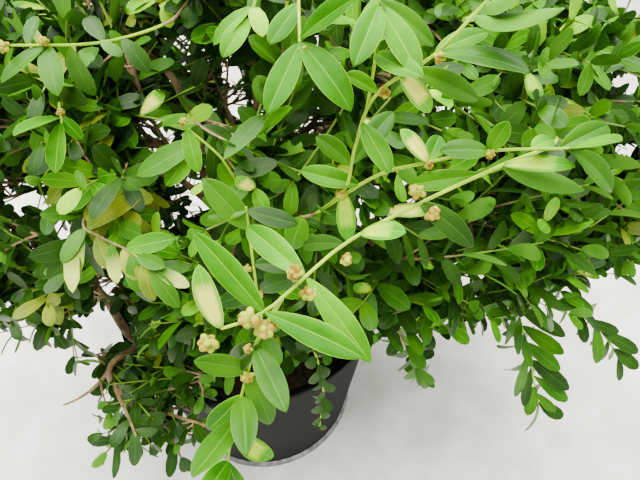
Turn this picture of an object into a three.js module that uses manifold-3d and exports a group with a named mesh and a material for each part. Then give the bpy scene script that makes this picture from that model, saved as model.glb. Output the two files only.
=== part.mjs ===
// A potted box shrub, grown out from a round crown: a tapered plastic pot, its potting mix, a short
// trunk with a root flare, four stems, the boughs that they carry and a crown of separate leafy masses.
// Millimetres, +Z up. The origin is the middle of the pot's flat underside, and the front faces -Y.
import * as THREE from 'three';
import { mergeVertices } from 'three/addons/utils/BufferGeometryUtils.js';
import Module from 'manifold-3d';

const wasm = await Module();
wasm.setup();

// Pot and potting mix
const POT_HEIGHT = 210;
const POT_RIM_RADIUS = 130;
const POT_FOOT_RADIUS = 106;
const POT_WALL = 2.6;
const LIP_HEIGHT = 9;
const LIP_OUT = 3.5;
const FOOT_HEIGHT = 8;
const FOOT_OUT = 4;
const SOIL_BELOW_RIM = 24;
const POT_SIDES = 40;
const CLEAR = 0.3;
const SHORTEST_EDGE = 0.03;

// Trunk and stems
const SOIL_TOP = POT_HEIGHT - SOIL_BELOW_RIM;
const TRUNK_RADIUS = 13;
const TRUNK_TOP_RADIUS = 10;
const TRUNK_HEIGHT = 46;
const TRUNK_LEAN = new THREE.Vector3(-5, 4, 0);
const FLARE_HEIGHT = 14;
const FLARE_OUT = 7;
const STEM_RADIUS = 5.6;
const STEM_OFFSET = 6.5;
const STEM_TIP_RADIUS = 3.4;
const BOUGH_RADIUS = 4.2;
const BOUGH_TIP_RADIUS = 2.6;
const LIMB_SIDES = 7;
const LIMB_STEPS = 7;
const TRUNK_SIDES = 14;
const TRUNK_STEPS = 8;

// Crown: its middle, and how far it reaches from there each way
const CROWN_MIDDLE = new THREE.Vector3(15, 25, 342);
const REACH_RIGHT = 385;
const REACH_LEFT = 290;
const REACH_FRONT = 185;
const REACH_BACK = 245;
const REACH_UP = 184;
const REACH_DOWN = 112;
const DROOP = 60;
const DROOP_AZIMUTH = 246;
const UPPER_CENTRE = 0.6;
const LOWER_CENTRE = 0.7;
const MASS_GAP = 1.2;

// Twigs and leaves. A leaf here stands for a small spray, so it is larger than life.
const TWIG_TARGETS = 104;
const TWIG_RADIUS = 2;
const TWIG_TIP_RADIUS = 1.2;
const TWIG_STEPS = 3;
const LEAF_LENGTH = 58;
const LEAF_WIDTH = 28;
const LEAF_THICKNESS = 2.2;
const LEAF_ANGLE = 52;
const LEAF_TRIES = [1, 0.7];
const LEAF_PAIR_SPACING = 44;
const LEAD_RUN = 26;
const LEAD_LEAF_LENGTH = 42;
const LEAD_PAIR_SPACING = 30;
const TIP_LEAF_ROOM = 30;
const LEAF_ROOT = 0.5;

const DEG = Math.PI / 180;
const GOLDEN_TURN = Math.PI * (3 - Math.sqrt(5));
const UP = new THREE.Vector3(0, 0, 1);

// A point or direction in words
const at = (x, y, z) => new THREE.Vector3(x, y, z);
const between = (a, b, t) => a.clone().lerp(b, t);
const compass = (azimuth, elevation) => at(
  Math.cos(elevation * DEG) * Math.cos(azimuth * DEG),
  Math.cos(elevation * DEG) * Math.sin(azimuth * DEG),
  Math.sin(elevation * DEG),
);

// The same run of numbers from 0 to 1 every time, from a seed
function seededDraws(seed) {
  let state = seed >>> 0;
  return () => {
    state = (Math.imul(1664525, state) + 1013904223) >>> 0;
    return state / 4294967296;
  };
}

// How far the crown reaches from its middle in a direction: an ellipsoid with a half-axis for each side,
// whose lower half hangs down further at the front left
function halfAxes(way) {
  const turn = Math.max(0, compass(DROOP_AZIMUTH, 0).dot(way.clone().setZ(0).normalize()));
  return at(
    way.x > 0 ? REACH_RIGHT : REACH_LEFT,
    way.y > 0 ? REACH_BACK : REACH_FRONT,
    way.z > 0 ? REACH_UP : REACH_DOWN + DROOP * turn * turn,
  );
}
const crownReach = (way) => 1 / way.clone().divide(halfAxes(way)).length();
const inCrown = (way, share, less = 0) => CROWN_MIDDLE.clone()
  .addScaledVector(way, crownReach(way) * share - less);

// A mesh's geometry as a solid, and a solid as a mesh's geometry
function solidOf(geometry) {
  const bare = geometry.clone();
  bare.deleteAttribute('normal');
  bare.deleteAttribute('uv');
  const merged = mergeVertices(bare, 1e-4);
  return new wasm.Manifold(new wasm.Mesh({
    numProp: 3,
    vertProperties: new Float32Array(merged.attributes.position.array),
    triVerts: new Uint32Array(merged.index.array),
  }));
}

function geometryOf(solid) {
  const { vertProperties, triVerts } = solid.getMesh();
  const geometry = new THREE.BufferGeometry();
  geometry.setAttribute('position', new THREE.BufferAttribute(vertProperties, 3));
  geometry.setIndex(new THREE.BufferAttribute(triVerts, 1));
  geometry.computeVertexNormals();
  return geometry;
}

// A limb: a cylinder bent along a path, whose radius radiusAt gives for 0 to 1. Its rings stand square to
// the path, or level for the trunk.
function bentCylinder(path, radiusAt, sides, steps, level = false) {
  const frames = path.computeFrenetFrames(steps, false);
  const limb = new THREE.CylinderGeometry(1, 1, 1, sides, steps)
    .rotateX(Math.PI / 2)
    .translate(0, 0, 0.5);
  const positions = limb.attributes.position;
  for (let i = 0; i < positions.count; i++) {
    const step = Math.round(positions.getZ(i) * steps);
    const radius = radiusAt(step / steps);
    const point = path.getPointAt(step / steps)
      .addScaledVector(level ? at(1, 0, 0) : frames.normals[step], positions.getX(i) * radius)
      .addScaledVector(level ? at(0, 1, 0) : frames.binormals[step], positions.getY(i) * radius);
    positions.setXYZ(i, point.x, point.y, point.z);
  }
  return limb;
}

const evenTaper = (start, end) => (t) => start + (end - start) * t;

// Pot: one turned profile, from the underside out, up the wall, over the lip and down inside
function potGeometry() {
  const wallAt = (z) => POT_FOOT_RADIUS - FOOT_OUT
    + (POT_RIM_RADIUS - LIP_OUT - POT_FOOT_RADIUS + FOOT_OUT) * (z / POT_HEIGHT);
  const floor = POT_WALL * 1.5;
  const profile = [
    [0, 0],
    [POT_FOOT_RADIUS - 1.5, 0],
    [POT_FOOT_RADIUS, 2],
    [POT_FOOT_RADIUS - 0.5, FOOT_HEIGHT - 2],
    [POT_FOOT_RADIUS - 2, FOOT_HEIGHT],
    [wallAt(FOOT_HEIGHT + 2), FOOT_HEIGHT + 2],
    [wallAt(POT_HEIGHT - LIP_HEIGHT), POT_HEIGHT - LIP_HEIGHT],
    [POT_RIM_RADIUS - 0.8, POT_HEIGHT - LIP_HEIGHT + 1],
    [POT_RIM_RADIUS, POT_HEIGHT - 2],
    [POT_RIM_RADIUS - 2, POT_HEIGHT],
    [wallAt(POT_HEIGHT) - POT_WALL, POT_HEIGHT - 1],
    [wallAt(floor) - POT_WALL, floor],
    [0, floor],
  ];
  const points = profile.map(([radius, height]) => new THREE.Vector2(radius, height));
  return new THREE.LatheGeometry(points, POT_SIDES).rotateX(Math.PI / 2);
}

// Potting mix: fills the pot inside its wall, with a slightly domed top that is flat under the trunk
function soilGeometry() {
  const insideAt = (z) => POT_FOOT_RADIUS - FOOT_OUT - POT_WALL - CLEAR - 0.4
    + (POT_RIM_RADIUS - LIP_OUT - POT_FOOT_RADIUS + FOOT_OUT) * (z / POT_HEIGHT);
  const bottom = POT_WALL * 1.5 + CLEAR;
  const edge = SOIL_TOP - 7;
  const flatRadius = TRUNK_RADIUS + FLARE_OUT + 12;
  const profile = [
    [0, bottom],
    [insideAt(bottom), bottom],
    [insideAt(edge), edge],
    [insideAt(edge) * 0.75, SOIL_TOP - 2.5],
    [flatRadius, SOIL_TOP],
    [0, SOIL_TOP],
  ];
  const points = profile.map(([radius, height]) => new THREE.Vector2(radius, height));
  return new THREE.LatheGeometry(points, POT_SIDES / 2).rotateX(Math.PI / 2);
}

// Trunk: level rings from a flat cut on the potting mix, with a root flare, up to where the stems part
const TRUNK_FOOT = at(0, 0, SOIL_TOP + CLEAR);
const trunkPath = new THREE.LineCurve3(
  TRUNK_FOOT,
  TRUNK_FOOT.clone().add(TRUNK_LEAN).add(at(0, 0, TRUNK_HEIGHT)),
);
function trunkRadius(t) {
  const flare = Math.max(0, 1 - (t * TRUNK_HEIGHT) / FLARE_HEIGHT);
  return evenTaper(TRUNK_RADIUS, TRUNK_TOP_RADIUS)(t) + FLARE_OUT * flare * flare;
}

// The masses of the crown, ring by ring, by the way they face. A bough, or a stem, ends in each one.
const UPPER_RING = { front: -66, right: 6, back: 78, back_left: 150, left: 222 };
const LOWER_RING = {
  front: -95, front_right: -45, right: 5, back_right: 57, back_left: 112, left: 166, front_left: 221,
};
const UPPER_ELEVATION = 30;
const LOWER_ELEVATION = -12;
const TOP_WAY = at(0.05, 0.05, 1).normalize();
const SKIRT_CENTRE = at(-72, -124, 204);

function massPlaces() {
  const places = [{ name: 'top', centre: inCrown(TOP_WAY, UPPER_CENTRE) }];
  const ring = (level, azimuths, elevation, share) => {
    for (const [side, azimuth] of Object.entries(azimuths)) {
      places.push({ name: `${level}_${side}`, centre: inCrown(compass(azimuth, elevation), share) });
    }
  };
  ring('upper', UPPER_RING, UPPER_ELEVATION, UPPER_CENTRE);
  ring('lower', LOWER_RING, LOWER_ELEVATION, LOWER_CENTRE);
  places.push({ name: 'skirt', centre: SKIRT_CENTRE.clone() });
  return places;
}
const masses = massPlaces();
const massNamed = (name) => masses.find((mass) => mass.name === name);

// Limbs. Each leaves its parent's middle line, is cut clear of the parent's skin, and ends where its
// mass begins, at a share of the way from the crown's middle to the mass's centre. The low stem and
// the bough over the pot's rim fork just above the potting mix instead, and have named ends.
const LOW_FORK = at(-86, -76, SOIL_TOP + 32);
const LOW_STEM_TIP = at(-112, -62, 268);
const SKIRT_BOUGH_TIP = at(-96, -106, 240);
const LIMB_PLAN = [
  { name: 'stem_front', mass: 'upper_front', parent: 'trunk', along: 0.82, ends: 0.45 },
  { name: 'stem_right', mass: 'upper_right', parent: 'trunk', along: 0.9, ends: 0.6 },
  { name: 'stem_back', mass: 'upper_back', parent: 'trunk', along: 0.96, ends: 0.6 },
  { name: 'stem_back_left', mass: 'upper_back_left', parent: 'trunk', along: 0.88, ends: 0.6 },
  {
    name: 'stem_left',
    mass: 'lower_front_left',
    parent: 'trunk',
    along: 0.5,
    by: LOW_FORK,
    tip: LOW_STEM_TIP,
  },
  { name: 'bough_top', mass: 'top', parent: 'stem_back', along: 0.5, ends: 0.3 },
  { name: 'bough_upper_left', mass: 'upper_left', parent: 'stem_back_left', along: 0.4, ends: 0.6 },
  { name: 'bough_lower_front', mass: 'lower_front', parent: 'stem_front', along: 0.42, ends: 0.5 },
  {
    name: 'bough_lower_front_right',
    mass: 'lower_front_right',
    parent: 'stem_front',
    along: 0.3,
    ends: 0.6,
  },
  { name: 'bough_lower_right', mass: 'lower_right', parent: 'stem_right', along: 0.4, ends: 0.62 },
  { name: 'bough_lower_back_right', mass: 'lower_back_right', parent: 'stem_back', along: 0.34, ends: 0.6 },
  { name: 'bough_lower_back_left', mass: 'lower_back_left', parent: 'stem_back', along: 0.22, ends: 0.6 },
  { name: 'bough_lower_left', mass: 'lower_left', parent: 'stem_back_left', along: 0.28, ends: 0.6 },
  { name: 'bough_skirt', mass: 'skirt', parent: 'stem_left', along: 0.62, tip: SKIRT_BOUGH_TIP },
];

const paths = { trunk: trunkPath };
const limbRadii = { trunk: trunkRadius };

// A limb rises as it leaves, then bends out towards the middle of its mass
function limbPath(plan) {
  const start = paths[plan.parent].getPointAt(plan.along);
  const { centre } = massNamed(plan.mass);
  const end = plan.tip ?? between(CROWN_MIDDLE, centre, plan.ends);
  if (plan.by) return new THREE.CatmullRomCurve3([start, plan.by, end], false, 'centripetal');
  if (plan.parent === 'trunk') {
    const outward = centre.clone().sub(start).setZ(0).normalize();
    start.addScaledVector(outward, STEM_OFFSET);
  }
  const lift = start.distanceTo(end) * 0.16;
  const bend = between(start, end, 0.5).addScaledVector(UP, lift)
    .lerp(at(start.x, start.y, end.z), 0.12);
  return new THREE.QuadraticBezierCurve3(start, bend, end);
}

for (const plan of LIMB_PLAN) {
  paths[plan.name] = limbPath(plan);
  limbRadii[plan.name] = plan.parent === 'trunk'
    ? evenTaper(STEM_RADIUS, STEM_TIP_RADIUS)
    : evenTaper(BOUGH_RADIUS, BOUGH_TIP_RADIUS);
  massNamed(plan.mass).limb = plan.name;
}

function limbSolid(name, extra = 0) {
  const radiusAt = (t) => limbRadii[name](t) + extra;
  return solidOf(name === 'trunk'
    ? bentCylinder(paths[name], radiusAt, TRUNK_SIDES, TRUNK_STEPS, true)
    : bentCylinder(paths[name], radiusAt, LIMB_SIDES, LIMB_STEPS));
}

// Shoots that grew out past the rest of the crown. Each starts on its mass's stem, or a share along the
// shoot that it forks from, and goes through the points of its route.
const LEAD_START = 0.55;
const LEAD_SHOOTS = [
  {
    name: 'long_shoot',
    mass: 'upper_right',
    route: [
      at(180, -60, 428), at(180, -112, 449), at(142, -144, 457), at(106, -171, 461),
      at(76, -192, 460), at(49, -216, 453), at(38, -220, 452),
    ],
  },
  {
    name: 'long_shoot_side',
    mass: 'upper_right',
    from: 'long_shoot',
    along: 0.94,
    route: [at(45, -211, 428), at(40, -213, 409), at(36, -220, 396), at(31, -230, 376), at(30, -238, 360)],
  },
  {
    name: 'forked_shoot',
    mass: 'upper_front',
    route: [
      at(58, -124, 411), at(79, -139, 441), at(82, -140, 462), at(88, -145, 489), at(105, -151, 506),
      at(120, -147, 522),
    ],
  },
  {
    name: 'forked_shoot_right',
    mass: 'upper_front',
    from: 'forked_shoot',
    along: 0.45,
    route: [at(94, -140, 450), at(111, -142, 457), at(135, -145, 465), at(164, -149, 469)],
  },
  {
    name: 'forked_shoot_tip',
    mass: 'upper_front',
    from: 'forked_shoot',
    along: 0.75,
    route: [at(87, -143, 501), at(87, -139, 520)],
  },
  {
    name: 'top_sprig',
    mass: 'upper_front',
    route: [at(50, -70, 482), at(59, -88, 517), at(60, -115, 513), at(61, -138, 505)],
  },
  {
    name: 'top_sprig_side',
    mass: 'upper_front',
    from: 'top_sprig',
    along: 0.6,
    route: [at(45, -88, 510), at(39, -101, 500)],
  },
  {
    name: 'woody_twig',
    mass: 'top',
    route: [at(2, -20, 484), at(-8, -62, 484), at(-34, -83, 483), at(-72, -94, 486)],
  },
  {
    name: 'left_sprig',
    mass: 'upper_left',
    route: [at(-74, -66, 436), at(-66, -82, 452), at(-55, -105, 454)],
  },
  {
    name: 'middle_sprig',
    mass: 'upper_front',
    route: [at(30, -105, 412), at(20, -118, 445), at(9, -120, 460)],
  },
  {
    name: 'upright_sprig',
    mass: 'lower_front',
    route: [at(34, -152, 352), at(39, -166, 379), at(39, -166, 410), at(38, -158, 447)],
  },
  {
    name: 'hanging_right',
    mass: 'lower_front_right',
    route: [at(175, -80, 345), at(197, -90, 328), at(217, -104, 284), at(240, -134, 222)],
  },
  {
    name: 'far_right',
    mass: 'lower_right',
    route: [at(215, -67, 342), at(242, -89, 307), at(277, -106, 279), at(293, -116, 262)],
  },
  {
    name: 'over_rim',
    mass: 'lower_front_right',
    route: [at(120, -112, 300), at(142, -112, 250), at(160, -98, 190)],
  },
  {
    name: 'over_pot',
    mass: 'lower_front',
    route: [at(56, -118, 300), at(70, -130, 245), at(68, -140, 196)],
  },
];

// Twig ends, spread evenly over the crown and over the skirt that hangs past the pot's rim
const SKIRT_TARGETS = 14;
const SKIRT_REACH = at(68, 42, 64);

function crownTargets() {
  const targets = [];
  for (let i = 0; i < TWIG_TARGETS; i++) {
    const z = 1 - (i + 0.5) * (2 / TWIG_TARGETS);
    const flat = Math.sqrt(1 - z * z);
    const even = at(flat * Math.cos(i * GOLDEN_TURN), flat * Math.sin(i * GOLDEN_TURN), z);
    const way = even.clone().multiply(halfAxes(even)).normalize();
    targets.push(inCrown(way, 0.9 + 0.1 * ((i * 0.618034) % 1), TIP_LEAF_ROOM));
  }
  return targets;
}

function skirtTargets() {
  const targets = [];
  for (let i = 0; i < SKIRT_TARGETS; i++) {
    const z = 0.7 - (i + 0.5) * (1.7 / SKIRT_TARGETS);
    const flat = Math.sqrt(1 - z * z);
    const way = at(flat * Math.cos(i * GOLDEN_TURN), flat * Math.sin(i * GOLDEN_TURN), z);
    targets.push(SKIRT_CENTRE.clone().add(way.multiply(SKIRT_REACH)));
  }
  return targets;
}

// A mass's space: the points nearer to its centre than to any other, less a gap
function inSpace(point, mass) {
  return masses.every((other) => {
    if (other === mass) return true;
    const apart = other.centre.clone().sub(mass.centre);
    const middle = between(mass.centre, other.centre, 0.5);
    return point.clone().sub(middle).dot(apart.normalize()) < -MASS_GAP / 2;
  });
}
const ownerOf = (point) => masses.reduce((best, mass) => (
  point.distanceTo(mass.centre) < point.distanceTo(best.centre) ? mass : best));

// The stem inside a mass grows on from its limb's tip, 0.3 mm clear, and turns out through its centre
function massStem(mass) {
  const limb = paths[mass.limb];
  const way = limb.getTangentAt(1);
  const start = limb.getPointAt(1).addScaledVector(way, CLEAR);
  const out = mass.centre.clone().sub(start);
  const end = mass.centre.clone().addScaledVector(out.clone().normalize(), out.length() * 0.25);
  const bend = start.clone().addScaledVector(way, start.distanceTo(end) * 0.45);
  return new THREE.QuadraticBezierCurve3(start, bend, end);
}

function twigPath(stem, target, draw) {
  const along = 0.12 + 0.8 * draw();
  const start = stem.getPointAt(along);
  const bend = start.clone()
    .addScaledVector(stem.getTangentAt(along), start.distanceTo(target) * 0.3)
    .lerp(target, 0.35);
  return new THREE.QuadraticBezierCurve3(start, bend, target);
}

// A point on the straight runs that a path is built of
function onRuns(path, t, runs) {
  const run = Math.min(runs - 1, Math.floor(t * runs));
  return between(path.getPointAt(run / runs), path.getPointAt((run + 1) / runs), t * runs - run);
}

const leadPaths = {};
const leadRuns = {};
for (const { name, mass, from, along, route } of LEAD_SHOOTS) {
  const start = from
    ? onRuns(leadPaths[from], along, leadRuns[from])
    : massStem(massNamed(mass)).getPointAt(LEAD_START);
  leadPaths[name] = new THREE.CatmullRomCurve3([start, ...route], false, 'centripetal');
  leadRuns[name] = Math.ceil(leadPaths[name].getLength() / LEAD_RUN);
}

// A leaf: eight faces, a flat diamond, with its root sunk past the twig's middle line
function leafSolid({ root, way, face, length, sunk }) {
  const side = face.clone().cross(way).normalize();
  const upward = way.clone().cross(side);
  const basis = new THREE.Matrix4().makeBasis(way, side, upward);
  const middle = root.clone().addScaledVector(way, length / 2 - sunk);
  const share = length / LEAF_LENGTH;
  const leaf = new THREE.OctahedronGeometry(1)
    .scale(length / 2, (LEAF_WIDTH * share) / 2, (LEAF_THICKNESS * share) / 2)
    .applyMatrix4(basis)
    .translate(middle.x, middle.y, middle.z);
  return { solid: solidOf(leaf), geometry: leaf };
}

function corners(geometry) {
  const positions = geometry.attributes.position;
  const found = [];
  for (let i = 0; i < positions.count; i++) found.push(at(0, 0, 0).fromBufferAttribute(positions, i));
  return found;
}

// Leaves in opposite pairs, each pair a quarter turn on from the last, and one at the tip
function leavesOn(path, draw, lead, runs) {
  const leaves = [];
  const first = lead ? 0.4 : 0.42;
  const spacing = lead ? LEAD_PAIR_SPACING : LEAF_PAIR_SPACING;
  const leafLength = lead ? LEAD_LEAF_LENGTH : LEAF_LENGTH;
  const pairs = Math.max(1, Math.floor((path.getLength() * (1 - first)) / spacing));
  const roll = draw() * Math.PI;
  for (let pair = 0; pair <= pairs; pair++) {
    const t = Math.min(1, first + ((1 - first) * pair) / pairs);
    const root = onRuns(path, t, runs);
    const along = path.getTangentAt(t);
    const outward = root.clone().sub(CROWN_MIDDLE).normalize();
    const facing = outward.addScaledVector(UP, 0.8).normalize();
    const across = along.clone().cross(facing).normalize();
    const length = leafLength * (0.82 + 0.3 * draw());
    const sunk = LEAF_ROOT * (TWIG_RADIUS + (TWIG_TIP_RADIUS - TWIG_RADIUS) * t);
    const shared = { face: facing, length, sunk };
    if (pair === pairs) {
      leaves.push({ ...shared, root: onRuns(path, 0.97, runs), way: along });
      continue;
    }
    for (const hand of [1, -1]) {
      const spread = across.clone().multiplyScalar(hand)
        .applyAxisAngle(along, pair % 2 ? 0.9 * Math.sin(roll) : -0.5 * Math.cos(roll));
      const way = along.clone().multiplyScalar(Math.cos(LEAF_ANGLE * DEG))
        .addScaledVector(spread, Math.sin(LEAF_ANGLE * DEG)).normalize();
      leaves.push({ ...shared, root, way });
    }
  }
  return leaves;
}

// Gaps through the crown, where the floor shows past the low stem and at the left
const GAPS = [
  { from: at(-68, -115, 345), to: at(-157, 6, 198), radius: 6 },
  { from: at(-64, -127, 319), to: at(-144, -23, 168), radius: 6 },
  { from: at(-120, -78, 382), to: at(-270, 98, 233), radius: 5 },
];
const gapSolid = ({ from, to, radius }) => solidOf(
  bentCylinder(new THREE.LineCurve3(from, to), () => radius, 8, 1),
);

// Everything that a mass has to stay clear of, besides the other masses' spaces
const potBlock = solidOf(new THREE.CylinderGeometry(
  POT_RIM_RADIUS + 2, POT_FOOT_RADIUS + 2, POT_HEIGHT + 4, POT_SIDES,
).rotateX(Math.PI / 2).translate(0, 0, POT_HEIGHT / 2));
const limbNames = ['trunk', ...LIMB_PLAN.map((plan) => plan.name)];
const keepOut = wasm.Manifold.union([potBlock, ...limbNames.map((name) => limbSolid(name, 0.8))]);
const gaps = wasm.Manifold.union(GAPS.map(gapSolid));
const isClear = (solid, ...others) => [keepOut, ...others]
  .every((other) => solid.intersect(other).isEmpty());

// The largest body of a solid, with any sealed hollow filled and its shortest edges closed up
function wholeBody(solid) {
  const bodies = solid.decompose().filter((body) => body.volume() > 0);
  const largest = bodies.reduce((best, body) => (body.volume() > best.volume() ? body : best));
  return largest.asOriginal().simplify(SHORTEST_EDGE);
}

// A twig with its leaves, or null where the twig itself isn't clear. A leaf that isn't is made
// smaller, and left off where that isn't clear either.
function leafyTwig(path, draw, { allowed, leafAllowed = allowed }, lead, runs) {
  const taper = evenTaper(TWIG_RADIUS, TWIG_TIP_RADIUS);
  const geometry = bentCylinder(path, taper, 3, runs);
  const leaves = leavesOn(path, draw, lead, runs);
  if (!allowed(geometry)) return null;
  const pieces = [solidOf(geometry)];
  for (const place of leaves) {
    const fitting = LEAF_TRIES.map((share) => leafSolid({ ...place, length: place.length * share }))
      .find((leaf) => leafAllowed(leaf.geometry));
    if (fitting) pieces.push(fitting.solid);
  }
  return wasm.Manifold.union(pieces);
}

// The lead shoots, each clear of those of other masses that come before it
const leads = [];
LEAD_SHOOTS.forEach(({ name, mass }, i) => {
  const others = leads.filter((lead) => lead.mass !== mass).map((lead) => lead.solid);
  const allowed = (geometry) => isClear(solidOf(geometry), ...others);
  const solid = leafyTwig(leadPaths[name], seededDraws(900 + i), { allowed }, true, leadRuns[name]);
  if (solid) leads.push({ mass, solid });
});

function massSolid(mass, index, targets) {
  const stem = massStem(mass);
  const startRadius = limbRadii[mass.limb](1);
  const pieces = [solidOf(bentCylinder(stem, evenTaper(startRadius, TWIG_RADIUS), 5, 5))];
  const others = leads.filter((lead) => lead.mass !== mass.name).map((lead) => lead.solid);
  const allowed = (geometry) => corners(geometry).every((corner) => inSpace(corner, mass))
    && isClear(solidOf(geometry), gaps, ...others);
  const draw = seededDraws(17 + 31 * index);
  const twigs = leads.filter((lead) => lead.mass === mass.name).map((lead) => lead.solid);
  const leafAllowed = (geometry) => allowed(geometry)
    && isClear(solidOf(geometry), ...twigs);
  for (const target of targets) {
    const path = twigPath(stem, target, draw);
    const twig = leafyTwig(path, draw, { allowed, leafAllowed }, false, TWIG_STEPS);
    if (twig) twigs.push(twig);
  }
  return wholeBody(wasm.Manifold.union([...pieces, ...twigs]));
}

// Each limb, cut clear of the limb that it grows from and of those before it at the same fork
function finishedLimb(plan, index) {
  const earlier = LIMB_PLAN.slice(0, index).filter((other) => other.parent === plan.parent);
  const cutters = [plan.parent, ...earlier.map((other) => other.name)];
  return wholeBody(cutters.reduce(
    (limb, name) => limb.subtract(limbSolid(name, CLEAR)),
    limbSolid(plan.name),
  ));
}

// Materials
const potPlastic = new THREE.MeshStandardMaterial({ color: 0x35373a, roughness: 0.55, metalness: 0 });
const pottingMix = new THREE.MeshStandardMaterial({ color: 0x3b2a20, roughness: 1, metalness: 0 });
const bark = new THREE.MeshStandardMaterial({ color: 0x8a6f4e, roughness: 0.9, metalness: 0 });
const foliage = new THREE.MeshStandardMaterial({ color: 0x3f7d2c, roughness: 0.5, metalness: 0 });

const shrub = new THREE.Group();
function add(name, geometry, material) {
  const mesh = new THREE.Mesh(geometry, material);
  mesh.name = name;
  shrub.add(mesh);
}

add('pot', potGeometry(), potPlastic);
add('potting_mix', soilGeometry(), pottingMix);
add('trunk', geometryOf(limbSolid('trunk')), bark);
LIMB_PLAN.forEach((plan, index) => add(plan.name, geometryOf(finishedLimb(plan, index)), bark));

const targets = crownTargets().map((target) => ({ target, owner: ownerOf(target) }));
masses.forEach((mass, index) => {
  const own = mass.name === 'skirt' ? skirtTargets()
    : targets.filter(({ owner }) => owner === mass).map(({ target }) => target);
  add(`foliage_${mass.name}`, geometryOf(massSolid(mass, index, own)), foliage);
});

export default shrub;
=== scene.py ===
# %% [markdown]
# # A box shrub in its nursery pot
# The real object is an evergreen shrub that has grown out loosely from a clipped shape: a short woody
# trunk, a few stems, many fine green shoots, and thousands of small glossy leaves in opposite pairs.
# It could be scanned, or drawn leaf by leaf, but a plant is easier to grow than to copy. So this lesson
# works out limbs, shoots and leaves from a few named sizes, in whole numpy arrays, and the same rule that
# placed the part's plain twigs is carried on here to finer ones. Only the nearest shoots and leaves, and
# the gaps that show the floor, are set one by one. Sizes are in millimetres until a mesh is made, which
# is when they become metres.

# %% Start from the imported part
import bpy
import numpy as np
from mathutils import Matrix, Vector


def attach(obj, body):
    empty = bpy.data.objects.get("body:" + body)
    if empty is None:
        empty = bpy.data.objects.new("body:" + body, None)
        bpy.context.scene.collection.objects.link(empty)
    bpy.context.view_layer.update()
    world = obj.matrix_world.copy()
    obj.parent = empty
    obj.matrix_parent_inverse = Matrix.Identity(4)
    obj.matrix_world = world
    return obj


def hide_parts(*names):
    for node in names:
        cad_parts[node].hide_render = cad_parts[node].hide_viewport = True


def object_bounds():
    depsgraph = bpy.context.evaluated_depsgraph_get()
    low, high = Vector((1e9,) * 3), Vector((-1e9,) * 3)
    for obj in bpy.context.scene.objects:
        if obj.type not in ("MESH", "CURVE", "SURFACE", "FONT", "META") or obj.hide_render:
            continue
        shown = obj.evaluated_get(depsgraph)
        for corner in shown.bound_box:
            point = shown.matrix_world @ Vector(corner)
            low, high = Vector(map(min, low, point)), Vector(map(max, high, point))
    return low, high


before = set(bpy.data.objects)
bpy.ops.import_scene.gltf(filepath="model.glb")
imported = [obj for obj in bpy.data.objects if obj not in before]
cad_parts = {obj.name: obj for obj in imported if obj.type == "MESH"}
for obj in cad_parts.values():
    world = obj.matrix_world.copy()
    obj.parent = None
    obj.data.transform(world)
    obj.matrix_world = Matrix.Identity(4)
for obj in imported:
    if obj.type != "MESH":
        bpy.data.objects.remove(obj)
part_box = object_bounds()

PART_LOW = np.array(part_box[0]) * 1000
PART_HIGH = np.array(part_box[1]) * 1000
print("part box in millimetres", PART_LOW.round(1), PART_HIGH.round(1))

# %% [markdown]
# ## The sizes that shape the plant
# These are the part's own sizes, written again, so that the fine plant fills the same space as the plain
# one. The crown is an ellipsoid with a half-axis for each side, because the shrub leans out further to
# the right and the back than to the front.

# %% Sizes of the pot, the trunk and the crown
POT_HEIGHT = 210
POT_RIM_RADIUS = 130
POT_FOOT_RADIUS = 106
POT_WALL = 2.6
LIP_HEIGHT = 9
LIP_OUT = 3.5
FOOT_HEIGHT = 8
FOOT_OUT = 4
SOIL_TOP = POT_HEIGHT - 24
CLEAR = 0.3
TRUNK_RADIUS = 13
TRUNK_TOP_RADIUS = 10
TRUNK_HEIGHT = 46
FLARE_HEIGHT = 14
FLARE_OUT = 7
STEM_RADIUS = 5.6
STEM_TIP_RADIUS = 3.4
STEM_OFFSET = 6.5
BOUGH_RADIUS = 4.2
BOUGH_TIP_RADIUS = 2.6
CROWN_MIDDLE = np.array([15.0, 25.0, 342.0])
REACH_RIGHT_BACK_UP = np.array([385.0, 245.0, 184.0])
REACH_LEFT_FRONT_DOWN = np.array([290.0, 185.0, 112.0])
DROOP = 60
DROOP_AZIMUTH = 246
UPPER_CENTRE = 0.6
LOWER_CENTRE = 0.7
UPPER_ELEVATION = 30
LOWER_ELEVATION = -12
GOLDEN_TURN = np.pi * (3 - np.sqrt(5))
UP = np.array([0.0, 0.0, 1.0])

# %% [markdown]
# ## Directions, seeded draws and paths
# A plant needs chance, but the same chance every time. The part draws its numbers from one short
# formula, so the same formula stands here, and the main twigs come out in the same places. A path is an
# array of points evenly spaced along its length, which makes every later step plain array work.


# %% Directions and seeded draws
def unit(v):
    """v divided by its own length, along the last axis."""
    return v / np.linalg.norm(v, axis=-1, keepdims=True)


def compass(azimuth, elevation):
    """A direction from its angle round from +X and its angle above level, in degrees."""
    a, e = np.radians(azimuth), np.radians(elevation)
    return np.array([np.cos(e) * np.cos(a), np.cos(e) * np.sin(a), np.sin(e)])


def seeded_draws(seed):
    """Numbers from 0 to 1: each state is the last one times 1664525 plus 1013904223, cut to 32 bits."""
    state = seed
    while True:
        state = (1664525 * state + 1013904223) % 2**32
        yield state / 2**32


def spread_ways(count, top=1, fall=2):
    """Directions spread evenly over a ball, or over the part of it that lies from a height of top down
    by fall: equal steps in height, and a golden turn between each."""
    i = np.arange(count)
    z = top - (i + 0.5) * fall / count
    flat = np.sqrt(1 - z * z)
    return np.stack([flat * np.cos(i * GOLDEN_TURN), flat * np.sin(i * GOLDEN_TURN), z], axis=1)


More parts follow.
